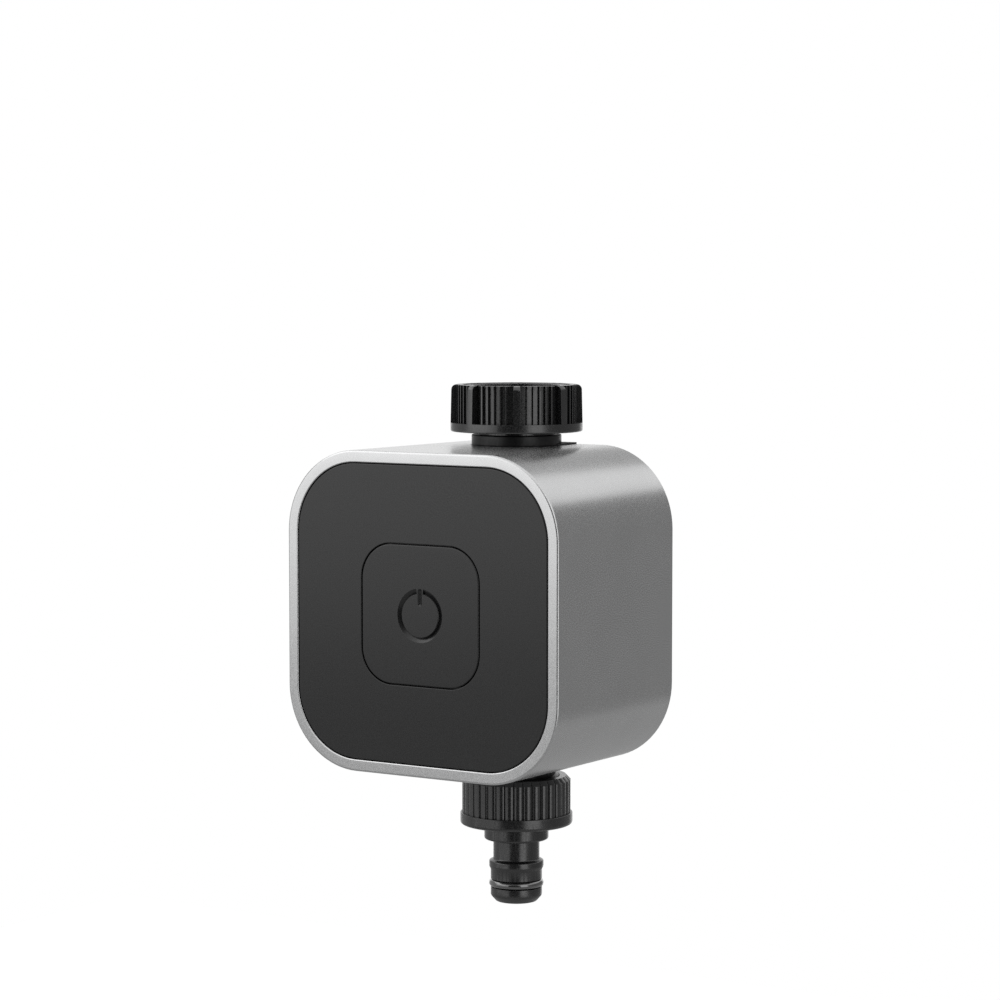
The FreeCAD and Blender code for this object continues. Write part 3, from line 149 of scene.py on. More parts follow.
def seen_directly(tree):
    """1 for rays from the camera, from a reflection or through glass, and 0 for light on its way."""
    path = node(tree, "ShaderNodeLightPath")
    total = path.outputs["Is Camera Ray"]
    for other in ("Is Glossy Ray", "Is Transmission Ray"):
        add = node(tree, "ShaderNodeMath", operation="ADD", use_clamp=True)
        link(tree, (total, add.inputs[0]), (path.outputs[other], add.inputs[1]))
        total = add.outputs[0]
    return total


# %% World
world = bpy.data.worlds.new("studio")
bpy.context.scene.world = world
world.use_nodes = True
sky = world.node_tree
backdrop = node(sky, "ShaderNodeBackground", {"Color": (1, 1, 1, 1)})
dim = sky.nodes["Background"]
dim.inputs["Color"].default_value = (0.92, 0.95, 1.0, 1)
dim.inputs["Strength"].default_value = 0.28
choose = node(sky, "ShaderNodeMixShader")
link(sky, (seen_directly(sky), choose.inputs[0]), (dim.outputs[0], choose.inputs[1]),
     (backdrop.outputs[0], choose.inputs[2]),
     (choose.outputs[0], sky.nodes["World Output"].inputs["Surface"]))
bpy.context.scene.view_settings.view_transform = "Standard"
print("world lit at", dim.inputs["Strength"].default_value)

# %% Floor and cards
FLOOR_DROP = 0.28
FLOOR_WIDTH = 2.0
floor_height = cad_low.z - FLOOR_DROP


def sheet_of(name, width, length, place):
    """A flat rectangle at a place given by a matrix."""
    drawing = bmesh.new()
    bmesh.ops.create_grid(drawing, x_segments=1, y_segments=1, size=0.5)
    bmesh.ops.scale(drawing, vec=(width, length, 1), verts=drawing.verts[:])
    bmesh.ops.transform(drawing, matrix=place, verts=drawing.verts[:])
    return in_scene(name, mesh_of(name, drawing))


pale = bare_material("pale_floor")
tree = pale.node_tree
ground = node(tree, "ShaderNodeBsdfDiffuse", {"Color": (0.85, 0.85, 0.85, 1)})
glow = node(tree, "ShaderNodeEmission")
place = node(tree, "ShaderNodeTexCoord")
level = node(tree, "ShaderNodeVectorMath", {1: (1, 1, 0)}, operation="MULTIPLY")
reach = node(tree, "ShaderNodeVectorMath", operation="LENGTH")
fade = node(tree, "ShaderNodeMapRange", {"From Min": 0.15, "From Max": 0.9, "To Min": 0.3, "To Max": 1.0})
lift = node(tree, "ShaderNodeMath", operation="MULTIPLY")
both = node(tree, "ShaderNodeAddShader")
link(tree, (place.outputs["Object"], level.inputs[0]), (level.outputs["Vector"], reach.inputs[0]),
     (reach.outputs["Value"], fade.inputs["Value"]), (seen_directly(tree), lift.inputs[0]),
     (fade.outputs["Result"], lift.inputs[1]), (lift.outputs[0], glow.inputs["Strength"]),
     (ground.outputs[0], both.inputs[0]), (glow.outputs[0], both.inputs[1]),
     (both.outputs[0], tree.nodes["Material Output"].inputs["Surface"]))
floor = sheet_of("floor", FLOOR_WIDTH, FLOOR_WIDTH, Matrix.Translation((0, 0, floor_height)))
floor.data.materials.append(pale)


def reflector(name, width, length, place, brightness):
    """A sheet that only reflections see."""
    made = sheet_of(name, width, length, place)
    paper = bare_material(name)
    tree = paper.node_tree
    light = node(tree, "ShaderNodeEmission", {"Strength": brightness})
    link(tree, (light.outputs[0], tree.nodes["Material Output"].inputs["Surface"]))
    made.data.materials.append(paper)
    made.visible_camera = False
    made.visible_diffuse = False
    made.visible_shadow = False


def card(name, azimuth, distance, width, low, high, brightness):
    """An upright card round the object, between two heights from its middle."""
    middle = (cad_low.z + cad_high.z) / 2
    place = (Matrix.Rotation(math.radians(azimuth), 4, "Z")
             @ Matrix.Translation((0, -distance, middle + (low + high) / 2))
             @ Matrix.Rotation(math.pi / 2, 4, "X"))
    reflector(name, width, high - low, place, brightness)


card("card_behind_right", 132, 0.95, 2.2, -0.36, 0.48, 0.26)
card("card_behind_above", -165, 0.97, 0.5, 0.34, 1.2, 0.45)
card("card_in_front", 24, 0.97, 0.92, -0.36, 0.62, 0.05)
card("card_left", -92, 0.96, 1.1, -0.36, 0.55, 0.45)
card("card_low_left", -33, 0.4, 0.56, -0.12, -0.03, 0.5)
card("strip_high_left", -36, 0.98, 0.7, 0.0, 0.8, 1.5)
card("strip_right", 67, 0.96, 0.45, -0.36, 0.8, 1.4)
card("strip_upper_left", -64, 0.95, 1.0, 0.4, 1.4, 1.9)
reflector("sheet_below", FLOOR_WIDTH, FLOOR_WIDTH, Matrix.Translation((0, 0, floor_height + 0.01)), 0.36)
print("floor at", round(floor_height, 3))

# %% Lamps
def softbox(name, azimuth, elevation, distance, width, height, power):
    """A rectangular lamp that faces the object from a direction in degrees. No reflection shows it."""
    lamp = bpy.data.lights.new(name, "AREA")
    lamp.shape = "RECTANGLE"
    lamp.size = width
    lamp.size_y = height
    lamp.energy = power
    made = in_scene(name, lamp)
    turn, rise = math.radians(azimuth), math.radians(elevation)
    direction = Vector((math.sin(turn) * math.cos(rise), -math.cos(turn) * math.cos(rise), math.sin(rise)))
    made.location = (cad_low + cad_high) / 2 + direction * distance
    made.rotation_euler = direction.to_track_quat("Z", "Y").to_euler()
    made.visible_glossy = False
    made.visible_camera = False


softbox("key_front_left", -34, 38, 1.5, 0.75, 0.8, 10)
softbox("lamp_right", 64, 36, 1.5, 0.4, 0.8, 5)
softbox("top", 170, 70, 1.3, 1.2, 1.2, 12)
print("three softboxes")

# %% [markdown]
# ## Finishes
# Each real surface has a grain of its own: blasted aluminium sparkles, a spark-eroded mould leaves a matt
# skin on plastic, rubber scatters light. One function lays these out: a fine noise drives relief and gloss, a
# broad one shifts the colour a little, so that no surface is one flat colour. Sizes are in millimetres. After
# its colour, a finish takes its roughness, the grain's width and relief, and the mottling and its width.

# %% Finish maker
def scaled_noise(tree, size_mm, detail=2.0, stretch=(1, 1, 1)):
    """Noise in object space whose features are about as wide as the size."""
    place = node(tree, "ShaderNodeTexCoord")
    mapping = node(tree, "ShaderNodeMapping", {"Scale": stretch})
    noise = node(tree, "ShaderNodeTexNoise", {"Scale": 1 / (size_mm * MM), "Detail": detail})
    link(tree, (place.outputs["Object"], mapping.inputs["Vector"]),
         (mapping.outputs["Vector"], noise.inputs["Vector"]))
    return noise.outputs["Fac"]


def ramp(tree, factor, low, high, start=0.3, end=0.7):
    """Turns a factor into a colour or a grey between two ends."""
    made = node(tree, "ShaderNodeValToRGB")
    for stop, position, colour in zip(made.color_ramp.elements, (start, end), (low, high)):
        stop.position = position
        stop.color = colour
    link(tree, (factor, made.inputs["Fac"]))
    return made.outputs["Color"]


def shade(colour, factor):
    """A colour made lighter or darker."""
    return (*[min(part * factor, 1) for part in colour], 1)


def grey(value):
    """A neutral colour."""
    return (value, value, value, 1)


GLOSS_SPREAD = 0.07


def finish(name, colour, rough, grain_mm, bump, mottle, mottle_mm=9, metal=0.0, relief_mm=0.02, speckle=0.0,
           stretch=(1, 1, 1), shine=0.5, coat=0.0):
    """A surface with a grain in its relief and gloss, and mottled by a broad shift in its colour."""
    material = bpy.data.materials.new(name)
    material.use_nodes = True
    tree = material.node_tree
    surface = tree.nodes["Principled BSDF"]
    for socket, value in (("Metallic", metal), ("Specular IOR Level", shine), ("Coat Weight", coat)):
        surface.inputs[socket].default_value = value
    grain = scaled_noise(tree, grain_mm, stretch=stretch)
    broad = scaled_noise(tree, mottle_mm, detail=4.0)
    colours = ramp(tree, broad, shade(colour, 1 - mottle), shade(colour, 1 + mottle))
    if speckle:
        fine = ramp(tree, grain, grey(1 - speckle), grey(1 + speckle), 0.35, 0.65)
        mix = node(tree, "ShaderNodeMix", {"Factor": 1.0}, data_type="RGBA", blend_type="MULTIPLY")
        link(tree, (colours, mix.inputs["A"]), (fine, mix.inputs["B"]))
        colours = mix.outputs["Result"]
    gloss = ramp(tree, grain, grey(max(rough - GLOSS_SPREAD, 0.02)), grey(min(rough + GLOSS_SPREAD, 1)))
    relief = node(tree, "ShaderNodeBump", {"Strength": bump, "Distance": relief_mm * MM})
    link(tree, (colours, surface.inputs["Base Color"]), (gloss, surface.inputs["Roughness"]),
         (grain, relief.inputs["Height"]), (relief.outputs["Normal"], surface.inputs["Normal"]))
    return material


# %% [markdown]
# The case is cast aluminium, blasted with fine beads and anodised. Its skin is bright but not a mirror: the
# beads leave dents about a third of a millimetre wide, each tipped a little its own way, which gives the
# sparkle.

# %% Metals
ALUMINIUM = finish("blasted_aluminium", (0.60, 0.602, 0.605), 0.27, 0.3, 0.14, 0.02, 14, metal=1.0,
                   speckle=0.06)
STEEL = finish("plated_steel", (0.58, 0.58, 0.57), 0.26, 0.18, 0.12, 0.05, 3, metal=1.0)
SPRING_STEEL = finish("drawn_wire", (0.50, 0.50, 0.49), 0.22, 0.12, 0.1, 0.06, 2, metal=1.0)
MAGNET_STEEL = finish("turned_steel", (0.42, 0.43, 0.44), 0.32, 0.25, 0.2, 0.06, 4, metal=1.0,
                      stretch=(1, 1, 6))
NICKEL = finish("nickel_plate", (0.66, 0.63, 0.57), 0.2, 0.2, 0.1, 0.04, 4, metal=1.0)
TIN = finish("tinned_sheet", (0.66, 0.67, 0.68), 0.34, 0.6, 0.12, 0.07, 5, metal=1.0)
COPPER = finish("lacquered_copper", (0.78, 0.34, 0.16), 0.3, 0.15, 0.1, 0.1, 3, metal=1.0)
print("metals ready")

# %% [markdown]
# The plastics differ in their moulds. The panel has a fine matt skin, the pipe parts are glass-filled nylon
# with a slightly mottled sheen, and the rear tray has a coarser grain. Rubber is duller than all of them,
# except for the ring seals, which wear a film of grease. The valve pipe's nylon is a little darker and duller
# than the rest: this is painted shade, for its collar that sits in the shadow under the nut.

# %% Plastics and rubber
PANEL_BLACK = finish("matt_panel", (0.005, 0.005, 0.0052), 0.29, 0.22, 0.2, 0.05, 16, relief_mm=0.015,
                     speckle=0.10, shine=0.57)
HOUSING_BLACK = finish("grained_housing", (0.020, 0.020, 0.021), 0.5, 0.4, 0.5, 0.08, relief_mm=0.04)
NYLON_BLACK = finish("black_nylon", (0.007, 0.007, 0.0073), 0.25, 0.5, 0.22, 0.12, 5, relief_mm=0.03,
                     shine=1.0)
NYLON_GREY = finish("grey_nylon", (0.23, 0.235, 0.24), 0.42, 0.35, 0.25, 0.07, 4, speckle=0.06)
RUBBER = finish("black_rubber", (0.014, 0.014, 0.014), 0.66, 0.25, 0.3, 0.1, 3)
SEAL_RUBBER = finish("greased_rubber", (0.010, 0.010, 0.010), 0.2, 0.3, 0.1, 0.1, 3, shine=1.0, coat=1.0)
# Painted shade: the valve pipe's black nylon is darker and duller, for its collar in the shadow under the nut
SHADED_PIPE_BLACK = finish("nylon_painted_shade", (0.006, 0.006, 0.0063), 0.34, 0.5, 0.15, 0.1, 5, shine=0.4)
STRAINER = finish("strainer_plastic", (0.28, 0.29, 0.30), 0.5, 0.3, 0.25, 0.06)
CHIP_BLACK = finish("chip_epoxy", (0.022, 0.022, 0.023), 0.5, 0.15, 0.3, 0.06, 3)
JACKET = finish("cell_sleeve", (0.045, 0.075, 0.13), 0.28, 0.5, 0.08, 0.05, 12)
JACKET_BAND = finish("cell_sleeve_band", (0.60, 0.61, 0.62), 0.3, 0.5, 0.08, 0.03)
CREAM = finish("ceramic_part", (0.42, 0.33, 0.22), 0.5, 0.2, 0.2, 0.1, 1)
grease = SEAL_RUBBER.node_tree.nodes["Principled BSDF"]
grease.inputs["Coat IOR"].default_value = 2.0
grease.inputs["Coat Roughness"].default_value = 0.1
print("plastics ready")

# %% [markdown]
# A circuit board is a sheet of glass cloth under green lacquer. Copper tracks below the lacquer show as paler
# lines. The distance to the edges of a Voronoi pattern gives lines that run straight and meet at corners,
# much as tracks do.

# %% Circuit board finish
TRACK_PITCH = 3.4
BOARD_GREEN = finish("board_lacquer", (0.012, 0.075, 0.032), 0.3, 0.25, 0.12, 0.08, 6)
tree = BOARD_GREEN.node_tree
surface = tree.nodes["Principled BSDF"]
place = node(tree, "ShaderNodeTexCoord")
tracks = node(tree, "ShaderNodeTexVoronoi", {"Scale": 1 / (TRACK_PITCH * MM)}, feature="DISTANCE_TO_EDGE")
link(tree, (place.outputs["Object"], tracks.inputs["Vector"]))
lines = ramp(tree, tracks.outputs["Distance"], grey(1), grey(0), 0.045, 0.075)
paler = node(tree, "ShaderNodeMix", data_type="RGBA")
under = surface.inputs["Base Color"].links[0].from_socket
link(tree, (lines, paler.inputs["Factor"]), (under, paler.inputs["A"]),
     (paler.outputs["Result"], surface.inputs["Base Color"]))
paler.inputs["B"].default_value = (0.03, 0.15, 0.055, 1)
print("board ready")

# %% [markdown]
# Every CAD node keeps its shape and takes the finish of its material slot. The pieces made below replace
# some.

# %% Finishes on the CAD nodes
FINISHES = {
    "silver_shell": ALUMINIUM, "panel_black": PANEL_BLACK, "housing_black": HOUSING_BLACK,
    "fitting_black": NYLON_BLACK, "valve_grey": NYLON_GREY, "rubber_black": RUBBER,
    "spring_steel": SPRING_STEEL, "screw_steel": STEEL, "magnet_steel": MAGNET_STEEL, "copper_wire": COPPER,
    "board_green": BOARD_GREEN, "component_dark": CHIP_BLACK, "tin_shield": TIN, "cell_jacket": JACKET,
    "contact_nickel": NICKEL, "strainer_grey": STRAINER,
}
for name, part in frame["nodes"].items():
    slot = part.data.materials[0].name.split(".")[0]
    for holder in part.material_slots:
        holder.material = FINISHES[slot]

# %% [markdown]
# ## Drawing tools
# All pieces are drawn in millimetres about the middle of the case, then scaled and carried down to their
# place in the frame. Two kinds of form cover nearly all of them. Case, panel and button are rounded squares:
# a section is drawn once, each of its corners becomes a rounded square at its own depth, and neighbours are
# bridged. Pipe, nut and connector are turned: a section is spun about the pipe's axis.

# %% Common steps
def shift(drawing, by, points=None):
    """Moves a drawing, or some of its points, straight."""
    bmesh.ops.translate(drawing, vec=by, verts=drawing.verts[:] if points is None else points)


def turn(drawing, degrees, axis="Z", points=None, about=(0, 0, 0)):
    """Turns a drawing, or some of its points, about an axis."""
    bmesh.ops.rotate(drawing, cent=about, matrix=Matrix.Rotation(math.radians(degrees), 3, axis),
                     verts=drawing.verts[:] if points is None else points)


def resize(drawing, by, points=None):
    """Scales a drawing, or some of its points, about its origin."""
    bmesh.ops.scale(drawing, vec=by, verts=drawing.verts[:] if points is None else points)


def spin(drawing, geometry, angle, steps, merge=False, rise=0.0):
    """Carries geometry round the pipe's axis, and along it by a rise at each step."""
    return bmesh.ops.spin(drawing, geom=geometry, cent=(0, 0, 0), axis=(0, 0, 1), dvec=(0, 0, rise),
                          angle=angle, steps=steps, use_merge=merge)


def bevelled(drawing, geometry, width, steps, affect="VERTICES", clamp=False):
    """Rounds corners or edges."""
    return bmesh.ops.bevel(drawing, geom=geometry, offset=width, offset_type="OFFSET", segments=steps,
                           profile=0.5, affect=affect, material=-1, clamp_overlap=clamp)


def cleaned(drawing, nearness=0.0005):
    """Merges points that coincide and turns the faces outwards."""
    bmesh.ops.remove_doubles(drawing, verts=drawing.verts[:], dist=nearness)
    bmesh.ops.recalc_face_normals(drawing, faces=drawing.faces[:])


def points_in(geometry):
    """The points among mixed geometry."""
    return [part for part in geometry if isinstance(part, bmesh.types.BMVert)]


def radius_at(place):
    """Distance of a place from the pipe's axis."""
    return math.hypot(place.x, place.y)


def added(drawing, extra):
    """Puts one drawing into another."""
    mesh = mesh_of("extra", extra)
    drawing.from_mesh(mesh)
    bpy.data.meshes.remove(mesh)


# %% Section with rounded edges
LONG_EDGE_STEPS = 4
EDGE_STEPS = 5
shell_low, shell_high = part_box("outer_shell")
MIDDLE = (shell_low.z + shell_high.z) / 2


def rounded_section(*corners, steps=EDGE_STEPS):
    """Corners of a closed section, (across, along) or (across, along, radius) where the edge is rounded."""
    drawing = bmesh.new()
    points = [drawing.verts.new((corner[0], corner[1], 0)) for corner in corners]
    drawing.faces.new(points)
    for point, corner in zip(points, corners):
        if len(corner) == 3:
            bevelled(drawing, [point], corner[2], steps)
    drawing.faces.ensure_lookup_table()
    section = [tuple(point.co.xy) for point in drawing.faces[0].verts]
    drawing.free()
    return section


def outside(name):
    """Lowest and highest level of a CAD node, in millimetres from the middle of the case."""
    low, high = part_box(name)
    return (low.z - MIDDLE) / MM, (high.z - MIDDLE) / MM


print("middle of the case at", round(MIDDLE, 4))

# %% Rounded squares and their bridges
CORNER_STEPS = 20


def rounded_square(drawing, half, core, depth):
    """Edges of a rounded square at a depth. core is the half width of the straight part of its sides."""
    place = Matrix.Translation((0, -depth, 0)) @ Matrix.Rotation(math.pi / 2, 4, "X")
    made = bmesh.ops.create_grid(drawing, x_segments=1, y_segments=1, size=half, matrix=place)
    bent = bevelled(drawing, made["verts"], half - core, CORNER_STEPS)
    face = bent["verts"][0].link_faces[0]
    edges = face.edges[:]
    bmesh.ops.delete(drawing, geom=[face], context="FACES_ONLY")
    return edges


def bridged(drawing, section, core_of, closed=True):
    """Joins a rounded square at each corner of a section of (half width, depth) to the next one."""
    rings = [rounded_square(drawing, half, core_of(half), depth) for half, depth in section]
    for first, second in zip(rings, rings[1:] + rings[:1] if closed else rings[1:]):
        bmesh.ops.bridge_loops(drawing, edges=first + second)
    return rings


# %% Turned forms
TURN_STEPS = 96


def spun(drawing, section, steps=TURN_STEPS, closed=True):
    """Spins a section of (radius, height) about the pipe's axis. An open one starts and ends on the axis."""
    points = [drawing.verts.new((radius, 0, height)) for radius, height in section]
    ends = points[1:] + points[:1] if closed else points[1:]
    edges = [drawing.edges.new(pair) for pair in zip(points, ends)]
    spin(drawing, points + edges, math.tau, steps, merge=True)
    bmesh.ops.remove_doubles(drawing, verts=drawing.verts[:], dist=0.0005)


def profile(drawing, outline, start):
    """A flat face beside the pipe's axis, turned to a start angle, as geometry to be spun."""
    points = [drawing.verts.new((radius, 0, height)) for radius, height in outline]
    face = drawing.faces.new(points)
    turn(drawing, start, points=points)
    return points + list(face.edges) + [face]


def facing_forwards(drawing, across=0, up=0):
    """Turns a form drawn along Z so that it runs forwards, and puts its axis at a place on the case."""
    turn(drawing, 90, "X")
    shift(drawing, (across, 0, up))


# %% From drawing to piece
def placed(drawing, name, body, finishes, replaces=(), sharp=32, flat_faces=True):
    """Makes a drawing a piece: scaled to metres, carried to its place, shaded smooth between its edges."""
    cleaned(drawing)
    resize(drawing, (MM, MM, MM))
    shift(drawing, (0, 0, MIDDLE))
    open_edges = sum(not edge.is_manifold for edge in drawing.edges)
    mesh = mesh_of(name, drawing)
    for material in finishes:
        mesh.materials.append(material)
    mesh.shade_smooth()
    mesh.set_sharp_from_angle(angle=math.radians(sharp))
    piece = in_scene(name, mesh)
    if flat_faces:
        weigh = piece.modifiers.new("flat_faces", "WEIGHTED_NORMAL")
        weigh.keep_sharp = True
    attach(piece, body)
    if replaces:
        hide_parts(*replaces)
    print(name, len(mesh.polygons), "faces,", open_edges, "open edges")
    return piece


def drawing_of(name):
    """A CAD node's mesh as a drawing, in millimetres about the middle of the case."""
    drawing = bmesh.new()
    drawing.from_mesh(frame["nodes"][name].data)
    shift(drawing, (0, 0, -MIDDLE))
    resize(drawing, (1 / MM, 1 / MM, 1 / MM))
    return drawing


# %% Cutting one form out of another
def carved(drawing, tool):
    """Cuts one drawing out of another with a Boolean modifier, and returns the result as a new drawing."""
    objects = []
    for label, source in (("carved_form", drawing), ("carving_tool", tool)):
        cleaned(source)
        objects.append(in_scene(label, mesh_of(label, source)))
    form, cutter = objects
    cut = form.modifiers.new("cut", "BOOLEAN")
    cut.operation = "DIFFERENCE"
    cut.solver = "EXACT"
    cut.object = cutter
    result = bmesh.new()
    result.from_object(form, bpy.context.evaluated_depsgraph_get())
    for made in objects:
        mesh = made.data
        bpy.data.objects.remove(made)
        bpy.data.meshes.remove(mesh)
    return result


def soften_edges(drawing, width, chosen=None, angle=40):
    """Bevels the outward edges that are sharper than an angle, where a test chooses them."""
    drawing.normal_update()
    edges = [edge for edge in drawing.edges if edge.is_manifold and edge.is_convex
             and edge.calc_face_angle() > math.radians(angle) and (chosen is None or chosen(edge))]
    bevelled(drawing, edges, width, 2, "EDGES", True)
    return len(edges)


# %% [markdown]
# ## Case
# The case is one casting: a deep rounded square sleeve with a lip round its window, and a notch above and
# below where it slides over the water pipe. Its section is bridged round, and the notches are cut by one
# U-shaped bar. Fine rounded edges matter most here, because they draw the bright lines that show the case as
# metal.

# %% Case
CASE_HALF = (shell_high.x - shell_low.x) / 2 / MM
CASE_FRONT = -shell_low.y / MM
CASE_BACK = shell_high.y / MM
CASE_CORE = 23.2
CASE_WALL = 2.6
RIM_WIDTH = 3.58
RIM_ROUND = 0.7
FINE_ROUND = 0.35
LIP_DEPTH = 3.0
NOTCH_RADIUS = 14.02
NOTCH_STEPS = 24
OVERSHOOT = 5
window_half = CASE_HALF - RIM_WIDTH
lip_back = CASE_FRONT - LIP_DEPTH
sleeve_inside = CASE_HALF - CASE_WALL

case_section = rounded_section(
    (CASE_HALF, -CASE_BACK), (CASE_HALF, CASE_FRONT, RIM_ROUND), (window_half, CASE_FRONT, FINE_ROUND),
    (window_half, lip_back), (sleeve_inside, lip_back), (sleeve_inside, -CASE_BACK), steps=LONG_EDGE_STEPS)
case = bmesh.new()
bridged(case, case_section, lambda half: CASE_CORE)

notch = bmesh.new()
bar = bmesh.ops.create_grid(notch, x_segments=1, y_segments=1, size=NOTCH_RADIUS)
for point in bar["verts"]:
    if point.co.y > 0:
        point.co.y = CASE_BACK + OVERSHOOT
bevelled(notch, [point for point in bar["verts"] if point.co.y < 0], NOTCH_RADIUS, NOTCH_STEPS)
shift(notch, (0, 0, -CASE_HALF - OVERSHOOT))
raised = bmesh.ops.extrude_face_region(notch, geom=notch.faces[:])
shift(notch, (0, 0, (CASE_HALF + OVERSHOOT) * 2), points_in(raised["geom"]))
case = carved(case, notch)
print(soften_edges(case, 0.3, angle=60), "edges softened")
placed(case, "case_sleeve", "front_housing", [ALUMINIUM], ["outer_shell"])

# %% [markdown]
# ## Panel
# The panel is a dark moulding behind the window. A gap of a quarter of a millimetre runs round it, and its
# front stands a hair behind the rim. Behind it a ledge rests on the lip, a skirt fits the case, and a raised
# seat clamps the button's rubber sheet. The section goes round all of it in one closed line.

# %% Panel
PANEL_GAP = 0.25
PANEL_RECESS = 0.15
PANEL_SHEET = 2.25
TOUCH_GAP = 0.1
SKIRT_DEPTH = 6.5
SKIRT_WALL = 1.8
SEAT_HALF = 28.0
SEAT_INSIDE = 23.4
SEAT_CORE = 14.5
SEAT_RISE = 1.3
BUTTON_HALF = 20.7
BUTTON_CORE = 10.2
BUTTON_GAP = 0.35
panel_half = window_half - PANEL_GAP
panel_front = CASE_FRONT - PANEL_RECESS
panel_back = panel_front - PANEL_SHEET
ledge_front = lip_back - TOUCH_GAP
skirt_half = sleeve_inside - PANEL_GAP
skirt_back = ledge_front - SKIRT_DEPTH
opening_half = BUTTON_HALF + BUTTON_GAP
seat_back = panel_back - SEAT_RISE


def panel_core(half):
    """Half width of the straight sides, from the half width of a rounded square in the panel."""
    if half > SEAT_HALF + 1:
        return CASE_CORE
    return SEAT_CORE if half > SEAT_INSIDE - 1 else BUTTON_CORE


panel_section = rounded_section(
    (panel_half, panel_front, FINE_ROUND), (panel_half, ledge_front), (skirt_half, ledge_front),
    (skirt_half, skirt_back), (skirt_half - SKIRT_WALL, skirt_back), (skirt_half - SKIRT_WALL, panel_back),
    (SEAT_HALF, panel_back), (SEAT_HALF, seat_back), (SEAT_INSIDE, seat_back), (SEAT_INSIDE, panel_back),
    (opening_half, panel_back), (opening_half, panel_front, 0.2), steps=LONG_EDGE_STEPS)
panel = bmesh.new()
bridged(panel, panel_section, panel_core)
placed(panel, "panel", "front_housing", [PANEL_BLACK], ["front_panel"])

# %% [markdown]
# ## Button
# The button is a rounded square cap whose power sign is sunk into its face: a ring groove, and a short bar
# that crosses it at the top, with a thin ridge left on each side. A sign like this could be a texture, but
# the flanks of a real groove turn light or dark with the lamps, so a bent bar and a short wedge are cut out
# of the cap.

# %% Button cap
BUTTON_SHELL = 1.5
FLANGE_REACH = 1.9
FLANGE_SHEET = 1.2
button_flange = BUTTON_HALF + FLANGE_REACH
flange_front = panel_back - TOUCH_GAP
flange_back = flange_front - FLANGE_SHEET
roof = panel_front - BUTTON_SHELL
inner_half = BUTTON_HALF - BUTTON_SHELL
button_section = rounded_section(
    (inner_half, roof), (inner_half, flange_back), (button_flange, flange_back),
    (button_flange, flange_front), (BUTTON_HALF, flange_front), (BUTTON_HALF, panel_front, FINE_ROUND),
    (BUTTON_HALF - 2, panel_front))
button = bmesh.new()
rings = bridged(button, button_section, lambda half: BUTTON_CORE, closed=False)
for ring in (rings[0], rings[-1]):
    bmesh.ops.contextual_create(button, geom=ring)

# %% Power sign
SIGN_OUTER = 8.0
SIGN_BOTTOM = 6.75
SIGN_INNER = 6.4
SIGN_DEPTH = 0.72
SIGN_LIFT = 0.02
SIGN_STEPS = 72
SIGN_REACH = 9
BAR_HALF = 0.75
BAR_TIP = 0.06
BAR_DEPTH = 0.6
BAR_FOOT = 2.8
RIDGE = 0.3
ridge_angle = math.degrees(math.asin((BAR_HALF + RIDGE) / SIGN_BOTTOM))

sign = bmesh.new()
groove = profile(sign, [(SIGN_OUTER, SIGN_LIFT), (SIGN_BOTTOM, -SIGN_DEPTH), (SIGN_INNER, SIGN_LIFT)],
                 90 + ridge_angle)
spin(sign, groove, math.radians(360 - ridge_angle * 2), SIGN_STEPS)
facing_forwards(sign)
shift(sign, (0, -panel_front, 0))
button = carved(button, sign)

wedge = bmesh.new()
bmesh.ops.create_cone(wedge, cap_ends=True, segments=24, radius1=BAR_TIP, radius2=BAR_HALF, depth=BAR_DEPTH)
facing_forwards(wedge)
upper = [point for point in wedge.verts if point.co.z > 0.001]
shift(wedge, (0, 0, SIGN_OUTER - BAR_FOOT - BAR_HALF * 2), upper)
shift(wedge, (0, BAR_DEPTH / 2 - SIGN_LIFT - panel_front, BAR_FOOT + BAR_HALF))
button = carved(button, wedge)
print(soften_edges(button, 0.07, lambda edge: max(abs(end.co.x) for end in edge.verts) < SIGN_REACH, 30),
      "groove edges softened")

# %% Button underside
BOSS_RADIUS = 3.0
RIB_HALF = 0.6
rib_depth = roof - flange_back - 0.4
boss = bmesh.new()
spun(boss, [(0, flange_back), (BOSS_RADIUS, flange_back), (BOSS_RADIUS, roof + 0.2), (0, roof + 0.2)],
     steps=32, closed=False)
facing_forwards(boss)
for width, height in ((inner_half, RIB_HALF), (RIB_HALF, inner_half)):
    size = Matrix.Diagonal((width * 2, rib_depth, height * 2, 1))
    place = Matrix.Translation((0, -(roof - rib_depth / 2 + 0.1), 0))
    bmesh.ops.create_cube(boss, size=1, matrix=place @ size)
added(button, boss)
placed(button, "button", "push_button", [PANEL_BLACK], ["push_button"])

# %% [markdown]
# ## Union nut
# The nut that screws onto the water supply has eight wide ribs for the fingers, and between them windows with
# five narrow ribs each, which stand back from the wide ones. The windows run out through the rounded
# shoulder. Its section is spun in steps that follow the ribs, the faces between ribs are extruded inwards,
# and the edges are rounded. It rests turned, as a hand leaves it.

# %% Ribbed turning
def turned_in_steps(drawing, section, stops, arc=2.6):
    """Spins a closed section through the angles in a list, each span cut into equal steps."""
    points = [drawing.verts.new((radius, 0, height)) for radius, height in section]
    geometry = points + [drawing.edges.new(pair) for pair in zip(points, points[1:] + points[:1])]
    for start, end in zip(stops, stops[1:]):
        made = spin(drawing, geometry, math.radians(end - start), max(1, round((end - start) / arc)))
        geometry = made["geom_last"]
    cleaned(drawing)


def scaled_to(drawing, points, wanted):
    """Moves points straight in or out to a radius about the pipe's axis."""
    rings = {}
    for point in points:
        rings.setdefault(round(radius_at(point.co), 4), []).append(point)
    for radius, ring in rings.items():
        resize(drawing, (wanted / radius, wanted / radius, 1), ring)


